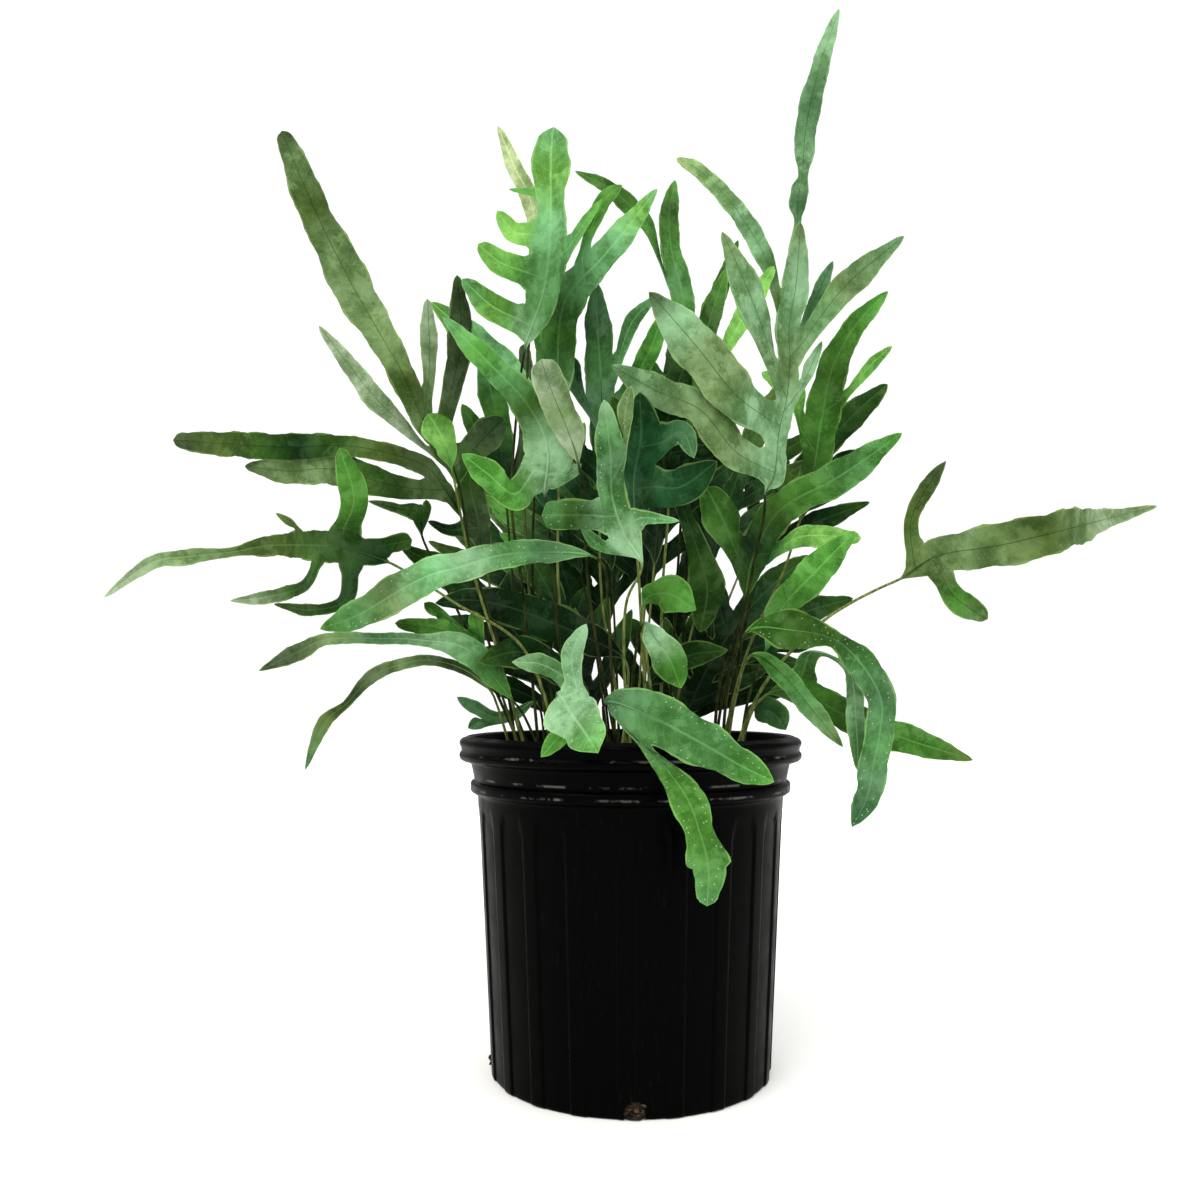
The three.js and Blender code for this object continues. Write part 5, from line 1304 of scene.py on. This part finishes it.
def arc(centre_radius, centre_z, radius, start, end, count):
    """Points of a circular arc in a section, by angle in degrees from straight out, turning up."""
    turns = np.radians(np.linspace(start, end, count))
    return [(centre_radius + radius * math.cos(turn), centre_z + radius * math.sin(turn), 0.0)
            for turn in turns]


def corners(radius, *places):
    """Corners of a section: how far out from a radius each lies, its height, and its flutes."""
    return [(radius + place[0], place[1], place[2] if len(place) > 2 else 0.0) for place in places]


def pot_section():
    """The pot's section, from the middle of its foot up the outside, over the rim and down inside.
    The third number says how much of the flutes' depth is cut at that height."""
    inside = NECK_RADIUS - WALL
    section = corners(0.0, (0.0, 0.0), (40.0, 0.0), (80.0, 0.0))
    section += corners(FOOT_RADIUS, (-3.5, 0.0), (-1.6, 0.15, 0.6), (-0.5, 0.7, 0.9))
    section += [(wall_radius(z), z, 1.0) for z in (1.9, *np.linspace(5.0, FLUTE_TOP, 38))]
    section += [(wall_radius(z), z, 0.0) for z in (193.0, 196.5)]
    section += corners(WALL_TOP_RADIUS, (-0.2, 198.4), (0.5, 199.5), (2.2, 200.3))
    section += arc(BEAD_RADIUS - 2.6, 203.6, 2.6, -70, 0, 6)
    section += arc(BEAD_RADIUS - 2.6, 207.0, 2.6, 0, 62, 6)
    section += corners(BEAD_RADIUS, (-2.4, 210.0))
    section += corners(NECK_RADIUS, (-3.1, 211.2), (-2.6, 213.5), (-1.4, 219.0), (-0.6, 221.8))
    section += corners(NECK_RADIUS, (0.5, 223.2), (3.0, 224.0))
    section += arc(RIM_RADIUS - 4.0, 228.0, 4.0, -80, 52, 12)
    section += arc(RIM_RADIUS - 3.8, 236.9, 3.8, -48, 88, 12)
    section += corners(RIM_RADIUS, (-5.2, 241.6), (-6.6, POT_HEIGHT))
    section += corners(inside, (1.2, 241.8), (0.0, 240.9), (-0.3, 238.0), (-1.5, 226.0))
    section += corners(inside, (-2.4, 214.0))
    section += corners(wall_radius(BEAD_LEVEL) - WALL, (0.6, 203.0))
    section += [(wall_radius(z) - WALL, z, 0.0) for z in np.linspace(198.0, FLOOR + 1.0, 12)]
    section += corners(0.0, (FOOT_RADIUS - WALL - 1.0, FLOOR), (60.0, FLOOR), (0.0, FLOOR))
    return np.array(section)


def flute_cut(turn, z):
    """How deep the flutes are at an angle and height, from 0 to 1: each is a band with soft sides
    that ends in a round arch at its top."""
    pitch = 2.0 * math.pi / FLUTES
    off = np.abs((turn - FLUTE_OFFSET + pitch / 2) % pitch - pitch / 2) * WALL_TOP_RADIUS
    half = FLUTE_ANGLE / 2 * WALL_TOP_RADIUS
    centre = FLUTE_TOP - half
    apart = np.where(z > centre, np.hypot(off, z - centre), off)
    return 1.0 - smoothstep(apart, half - FLUTE_EDGE, half)


def revolved(section, columns, cut=None):
    """A section turned round the pot's axis: points (r sin t, -r cos t, z). The first and last
    points of the section lie on the axis and close it."""
    turns = 2.0 * math.pi * np.arange(columns) / columns
    inner = section[1:-1]
    radius = np.repeat(inner[:, :1], columns, axis=1)
    if cut is not None:
        radius = radius - cut(turns[None, :], inner[:, 1:2]) * FLUTE_DEPTH * inner[:, 2:3]
    height = np.repeat(inner[:, 1:2], columns, axis=1)
    rings = np.stack([radius * np.sin(turns), -radius * np.cos(turns), height], axis=-1)
    return closed_rings(rings, (0.0, 0.0, section[0, 1]), (0.0, 0.0, section[-1, 1]))


def turned_about_z(turn):
    """The matrix that turns points about the upright axis."""
    return np.array([[math.cos(turn), -math.sin(turn), 0], [math.sin(turn), math.cos(turn), 0],
                     [0, 0, 1]])


def notch_prism(turn):
    """An arched prism through the foot of the wall: a U turned upside down, carried outwards."""
    half = DRAIN_WIDTH / 2
    arch = np.radians(np.linspace(0, 180, 19))
    crown = [(half * math.cos(a), DRAIN_HEIGHT - half + half * math.sin(a)) for a in arch]
    outline = np.array([(half, -2.0), *crown, (-half, -2.0)])
    count = len(outline)
    points = np.concatenate([
        np.column_stack([outline[:, 0], np.full(count, -reach), outline[:, 1]])
        for reach in (FOOT_RADIUS - 8.4, FOOT_RADIUS + 6.0)])
    ring = np.arange(count)
    after = np.roll(ring, -1)
    sides = np.stack([ring, after, after + count, ring + count], axis=-1)
    ends = [list(ring[::-1]), list(ring + count)]
    return points @ turned_about_z(turn).T, ends + sides.tolist()


def cut_away(piece, cutters):
    """Takes closed shapes out of a piece with a Boolean and keeps the result as its mesh."""
    tools = []
    for order, (points, faces) in enumerate(cutters):
        mesh = bpy.data.meshes.new(f"cutter_{order}")
        mesh.from_pydata(points * MM, [], faces)
        tool = link_to_scene(mesh.name, mesh)
        modifier = piece.modifiers.new(f"cut_{order}", "BOOLEAN")
        modifier.operation, modifier.object, modifier.solver = "DIFFERENCE", tool, "EXACT"
        tools.append(tool)
    shown = piece.evaluated_get(bpy.context.evaluated_depsgraph_get())
    cut = bpy.data.meshes.new_from_object(shown)
    piece.modifiers.clear()
    cut.name = piece.data.name
    piece.data = cut
    for tool in tools:
        bpy.data.objects.remove(tool)


def build_pot(settings):
    """The pot: its section turned round the axis, with the drain holes cut out of its foot."""
    points, quads, ends = revolved(pot_section(), settings.pot_columns, flute_cut)
    material = pot_material(settings.pot_colour)
    piece = new_object("pot_shell", points, quads.tolist() + ends.tolist(), material)
    turns = [2.0 * math.pi * hole / DRAIN_HOLES for hole in range(DRAIN_HOLES)]
    cut_away(piece, [notch_prism(turn) for turn in turns])
    piece.data.shade_smooth()
    piece.data.set_sharp_from_angle(angle=POT_SHARP)
    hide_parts("pot")


def soil_height(x, y):
    """The soil's height: low lumps, each the product of a sine and a cosine, with finer and finer
    ones over them."""
    lumps = sum(rise * np.sin(x * along + 1) * np.cos(y * across)
                for rise, along, across in SOIL_LUMPS)
    fine = 0.7 * np.sin(0.9 * x + 1.3 * np.sin(0.7 * y)) * np.cos(1.1 * y + np.sin(0.8 * x))
    grit = 0.35 * np.sin(2.3 * x + 2.0 * np.sin(1.9 * y)) * np.cos(2.6 * y + 1.7 * np.sin(2.1 * x))
    return SOIL_LEVEL + lumps + fine + grit


def build_soil():
    """The soil's body: a plain round block whose top follows the soil's height."""
    def inside(z):
        """The radius inside the pot's wall, less the play."""
        return wall_radius(z) - WALL - SOIL_PLAY

    edge = inside(SOIL_SHOULDER) - 0.3
    section = corners(0.0, (0.0, FLOOR + SOIL_PLAY), (inside(FLOOR) - 0.5, FLOOR + SOIL_PLAY))
    section += [(inside(z), z, 0.0) for z in np.linspace(12.0, SOIL_SHOULDER, 12)]
    section += [(edge * part, SOIL_LEVEL, 0.0) for part in np.linspace(1.0, 0.0, 90) ** 0.8]
    points, quads, ends = revolved(np.array(section), SOIL_COLUMNS)
    top = points[:, 2] > SOIL_SHOULDER + 1
    points[top, 2] = soil_height(points[top, 0], points[top, 1])
    material = soil_material("soil_top", tone(24, 18, 13), tone(52, 40, 28), 300.0)
    piece = new_object("soil_body", points, quads.tolist() + ends.tolist(), material)
    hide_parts("soil")


def lump(turns, tilts):
    """A crumb: a ball of a few faces, whose radius varies by two waves round and up it. Its rings
    go down, so its faces are turned over to point outwards."""
    around = 2.0 * math.pi * np.arange(CRUMB_SIDES)[None, :] / CRUMB_SIDES
    up = math.pi * (np.arange(CRUMB_RINGS)[:, None] + 1.0) / (CRUMB_RINGS + 1.0)
    bulge = (1.0 + 0.22 * np.sin(2 * around + turns) * np.sin(up)
             + 0.15 * np.cos(3 * around + 2 * tilts + 2 * up))
    rings = np.stack([bulge * np.sin(up) * np.cos(around), bulge * np.sin(up) * np.sin(around),
                      np.broadcast_to(np.cos(up), bulge.shape)], axis=-1)
    points, quads, ends = closed_rings(rings, (0.0, 0.0, 1.0), (0.0, 0.0, -1.0))
    return points, np.roll(quads[:, ::-1], 1, axis=1), np.roll(ends[:, ::-1], -1, axis=1)


def new_crumbs(name, places, sizes, draws, material):
    """Many crumbs at given places as one piece, each squashed, leant and turned its own way."""
    points, faces, count = [], [], 0
    for place, size in zip(places, sizes):
        ball, quads, ends = lump(draws.uniform(0, 6), draws.uniform(0, 6))
        spin = turned_about_z(draws.uniform(0, 2 * math.pi))
        tilt = draws.uniform(-0.6, 0.6)
        lean = np.array([[math.cos(tilt), 0, math.sin(tilt)], [0, 1, 0],
                         [-math.sin(tilt), 0, math.cos(tilt)]])
        shape = size * np.array([1.0, draws.uniform(0.5, 0.95), draws.uniform(0.35, 0.75)])
        points.append((ball * shape) @ (spin @ lean).T + place)
        faces += (quads + count).tolist() + (ends + count).tolist()
        count += len(ball)
    points = np.concatenate(points)
    points[:, 2] = np.maximum(points[:, 2], 0.05)
    new_object(name, points, faces, material)


def build_crumbs(settings):
    """Crumbs of peat and bark lying on the soil, and a few that sift out of two drain holes."""
    draws = np.random.default_rng(SEED)
    count = settings.crumb_count
    reach = CRUMB_REACH * np.sqrt(draws.uniform(0, 1, count))
    turn = draws.uniform(0, 2 * math.pi, count)
    x, y = reach * np.sin(turn), reach * np.cos(turn)
    sizes = 1.0 + 3.2 * draws.uniform(0, 1, count) ** 2.5
    places = np.column_stack([x, y, soil_height(x, y) + 0.25 * sizes])
    material = soil_material("soil_crumbs", tone(30, 22, 15), tone(84, 60, 38), 420.0)
    new_crumbs("soil_crumbs", places, sizes, np.random.default_rng(SEED + 1), material)

    out = -(FOOT_RADIUS - 3.5) - 3.6 * draws.uniform(0, 1, SIFTED_CRUMBS) ** 2
    aside = draws.uniform(-6.0, 6.0, SIFTED_CRUMBS)
    left = np.arange(SIFTED_CRUMBS) % 2 == 0
    up = 0.8 + 8.5 * draws.uniform(0, 1, SIFTED_CRUMBS) ** 1.6
    places = np.column_stack([np.where(left, out, aside), np.where(left, aside, out), up])
    sizes = 0.9 + 1.5 * draws.uniform(0, 1, SIFTED_CRUMBS)
    material = soil_material("drain_crumbs", tone(8, 7, 6), tone(44, 35, 27), 420.0)
    new_crumbs("drain_crumbs", places, sizes, np.random.default_rng(SEED + 2), material)


def build_stage(settings):
    """A wide pale floor, an even bright surround, soft lights and the camera."""
    scene = bpy.context.scene
    mesh = bpy.data.meshes.new("floor")
    square = [(-1, -1), (1, -1), (1, 1), (-1, 1)]
    places = [(FLOOR_REACH * x, FLOOR_REACH * y, -FLOOR_DROP) for x, y in square]
    mesh.from_pydata(places, [], [(0, 1, 2, 3)])
    mesh.materials.append(floor_material(settings.floor_colour))
    floor = link_to_scene("floor", mesh)

    scene.world = studio_world(settings.surround, settings.backdrop)
    soft_sun("key_light", (-0.55, -0.85, 1.0), 50.0, settings.key_strength, (1.0, 0.985, 0.96))
    soft_sun("fill_light", (0.9, -0.7, 0.75), 60.0, settings.fill_strength, (0.97, 0.99, 1.0))
    soft_sun("top_light", (0.1, 0.35, 1.0), 70.0, settings.top_strength, (1.0, 1.0, 1.0))

    data = bpy.data.cameras.new("camera")
    data.sensor_width = SENSOR
    data.lens = FOCAL / PICTURE * SENSOR
    data.clip_start = NEAREST
    camera = link_to_scene("camera", data)
    camera.location = EYE * MM
    camera.rotation_euler = (math.pi / 2 + EYE_TILT, 0.0, 0.0)
    scene.camera = camera
    scene.view_settings.view_transform = "Standard"


def studio_world(surround, backdrop):
    """A white surround: what is seen directly is as bright as the backdrop, and what lights the
    plant is dimmer, and dimmest from below."""
    graph = Graph(bpy.data.worlds.new("studio"))
    up = graph.parts(graph.add("ShaderNodeTexCoord").outputs["Generated"])[2]
    strength = graph.fade(up, -0.6, 0.9, 0.35 * surround, 1.35 * surround, "LINEAR")
    white = (1.0, 1.0, 1.0)
    light, seen = [
        graph.add("ShaderNodeBackground", {"Color": white, "Strength": value}).outputs[0]
        for value in (strength, backdrop)]
    ray = graph.add("ShaderNodeLightPath").outputs["Is Camera Ray"]
    both = graph.add("ShaderNodeMixShader", {0: ray, 1: light, 2: seen}).outputs[0]
    return graph.finish(both, "ShaderNodeOutputWorld")


def soft_sun(name, side, spread, strength, colour):
    """Even light from one side, as from a large diffuser: spread is its width in degrees."""
    data = bpy.data.lights.new(name, "SUN")
    data.angle, data.energy, data.color = math.radians(spread), strength, colour
    light = link_to_scene(name, data)
    light.rotation_euler = (-Vector(side)).to_track_quat("-Z", "Y").to_euler()


class FernPotSettings(bpy.types.PropertyGroup):
    pot_colour: FloatVectorProperty(
        name="Pot colour", description="Colour of the pot's plastic", subtype="COLOR", size=3,
        default=tone(6, 7, 6), min=0.0, max=1.0)
    pot_columns: IntProperty(
        name="Pot columns", description="Faces round the pot", default=600, min=120, max=900)
    crumb_count: IntProperty(
        name="Crumbs", description="Crumbs of peat and bark on the soil", default=420, min=0,
        max=900)


class FernLeafSettings(bpy.types.PropertyGroup):
    blade_thickness: FloatProperty(
        name="Blade thickness", description="Thickness of the leaves", default=0.5 * MM,
        min=0.2 * MM, max=0.8 * MM, unit="LENGTH", precision=4)
    stipe_thickness: FloatProperty(
        name="Stipe thickness", description="Thickness of the stems where they leave the soil",
        default=2.6 * MM, min=1.0 * MM, max=4.0 * MM, unit="LENGTH", precision=4)
    mesh_step: FloatProperty(
        name="Mesh step", description="Length of a leaf's faces along it", default=2.3 * MM,
        min=1.5 * MM, max=6.0 * MM, unit="LENGTH", precision=4)
    gloss: FloatProperty(
        name="Leaf roughness", description="Roughness of the leaves' upper side", default=0.44,
        min=0.1, max=0.9, subtype="FACTOR")


class FernStageSettings(bpy.types.PropertyGroup):
    floor_colour: FloatVectorProperty(
        name="Floor colour", description="Colour of the floor", subtype="COLOR", size=3,
        default=(0.74, 0.735, 0.715), min=0.0, max=1.0)
    surround: FloatProperty(
        name="Surround", description="How strongly the white surround lights the plant",
        default=0.72, min=0.0, max=4.0)
    backdrop: FloatProperty(
        name="Backdrop", description="Brightness of the surround as it is seen", default=1.1,
        min=0.0, max=4.0)
    key_strength: FloatProperty(
        name="Key light", description="Strength of the light from the front left", default=2.8,
        min=0.0, max=20.0)
    fill_strength: FloatProperty(
        name="Fill light", description="Strength of the light from the front right", default=1.1,
        min=0.0, max=20.0)
    top_strength: FloatProperty(
        name="Top light", description="Strength of the light from above", default=1.5,
        min=0.0, max=20.0)


def leaf_materials(gloss):
    """One material for each tone of leaf, made once."""
    return {name: bpy.data.materials.get(f"leaf_{name}") or leaf_material(name, gloss)
            for name in TONES}


def build_fronds(fronds, first, settings):
    """Fronds one after another, numbered on from the first."""
    materials = leaf_materials(settings.gloss)
    for order, frond in enumerate(fronds, first):
        build_frond(frond, order, settings, materials)


class FERN_OT_pot(bpy.types.Operator):
    """Build the black pot with its rolled rim, bead, flutes and drain holes"""
    bl_idname = "fern.pot"
    bl_label = "Pot"

    def execute(self, context):
        build_pot(context.scene.fern_pot)
        return {"FINISHED"}


class FERN_OT_soil(bpy.types.Operator):
    """Build the soil and the crumbs that lie on it"""
    bl_idname = "fern.soil"
    bl_label = "Soil"

    def execute(self, context):
        build_soil()
        build_crumbs(context.scene.fern_pot)
        return {"FINISHED"}


class FERN_OT_front_fronds(bpy.types.Operator):
    """Build the fronds of the crown that are laid out one by one"""
    bl_idname = "fern.front_fronds"
    bl_label = "Front fronds"

    def execute(self, context):
        build_fronds(FRONDS, 0, context.scene.fern_leaf)
        return {"FINISHED"}


class FERN_OT_rear_fronds(bpy.types.Operator):
    """Build the fronds at the rear, which follow a rule"""
    bl_idname = "fern.rear_fronds"
    bl_label = "Rear fronds"

    def execute(self, context):
        build_fronds(rear_fronds(), len(FRONDS), context.scene.fern_leaf)
        return {"FINISHED"}


class FERN_OT_stage(bpy.types.Operator):
    """Build the floor, the lights and the camera"""
    bl_idname = "fern.stage"
    bl_label = "Stage"

    def execute(self, context):
        build_stage(context.scene.fern_stage)
        return {"FINISHED"}


class FERN_PT_panel(bpy.types.Panel):
    bl_idname = "FERN_PT_panel"
    bl_label = "Potted Blue Star Fern"
    bl_space_type = "VIEW_3D"
    bl_region_type = "UI"
    bl_category = "Fern"

    def draw(self, context):
        layout = self.layout
        for group in (context.scene.fern_pot, context.scene.fern_leaf, context.scene.fern_stage):
            column = layout.column(align=True)
            for name in group.__annotations__:
                column.prop(group, name)
        for operator in OPERATORS:
            layout.operator(operator.bl_idname)


SETTINGS = (FernPotSettings, FernLeafSettings, FernStageSettings)
OPERATORS = (FERN_OT_pot, FERN_OT_soil, FERN_OT_front_fronds, FERN_OT_rear_fronds, FERN_OT_stage)


def register():
    """Adds the settings, the operators and the panel to Blender."""
    for cls in SETTINGS + OPERATORS + (FERN_PT_panel,):
        bpy.utils.register_class(cls)
    bpy.types.Scene.fern_pot = PointerProperty(type=FernPotSettings)
    bpy.types.Scene.fern_leaf = PointerProperty(type=FernLeafSettings)
    bpy.types.Scene.fern_stage = PointerProperty(type=FernStageSettings)


def unregister():
    """Takes them out of Blender again, in the opposite order."""
    del bpy.types.Scene.fern_stage
    del bpy.types.Scene.fern_leaf
    del bpy.types.Scene.fern_pot
    for cls in reversed(SETTINGS + OPERATORS + (FERN_PT_panel,)):
        bpy.utils.unregister_class(cls)


def main():
    """Builds every group of pieces in turn."""
    register()
    bpy.ops.fern.pot()
    bpy.ops.fern.soil()
    bpy.ops.fern.front_fronds()
    bpy.ops.fern.rear_fronds()
    bpy.ops.fern.stage()


if __name__ == "__main__":
    main()
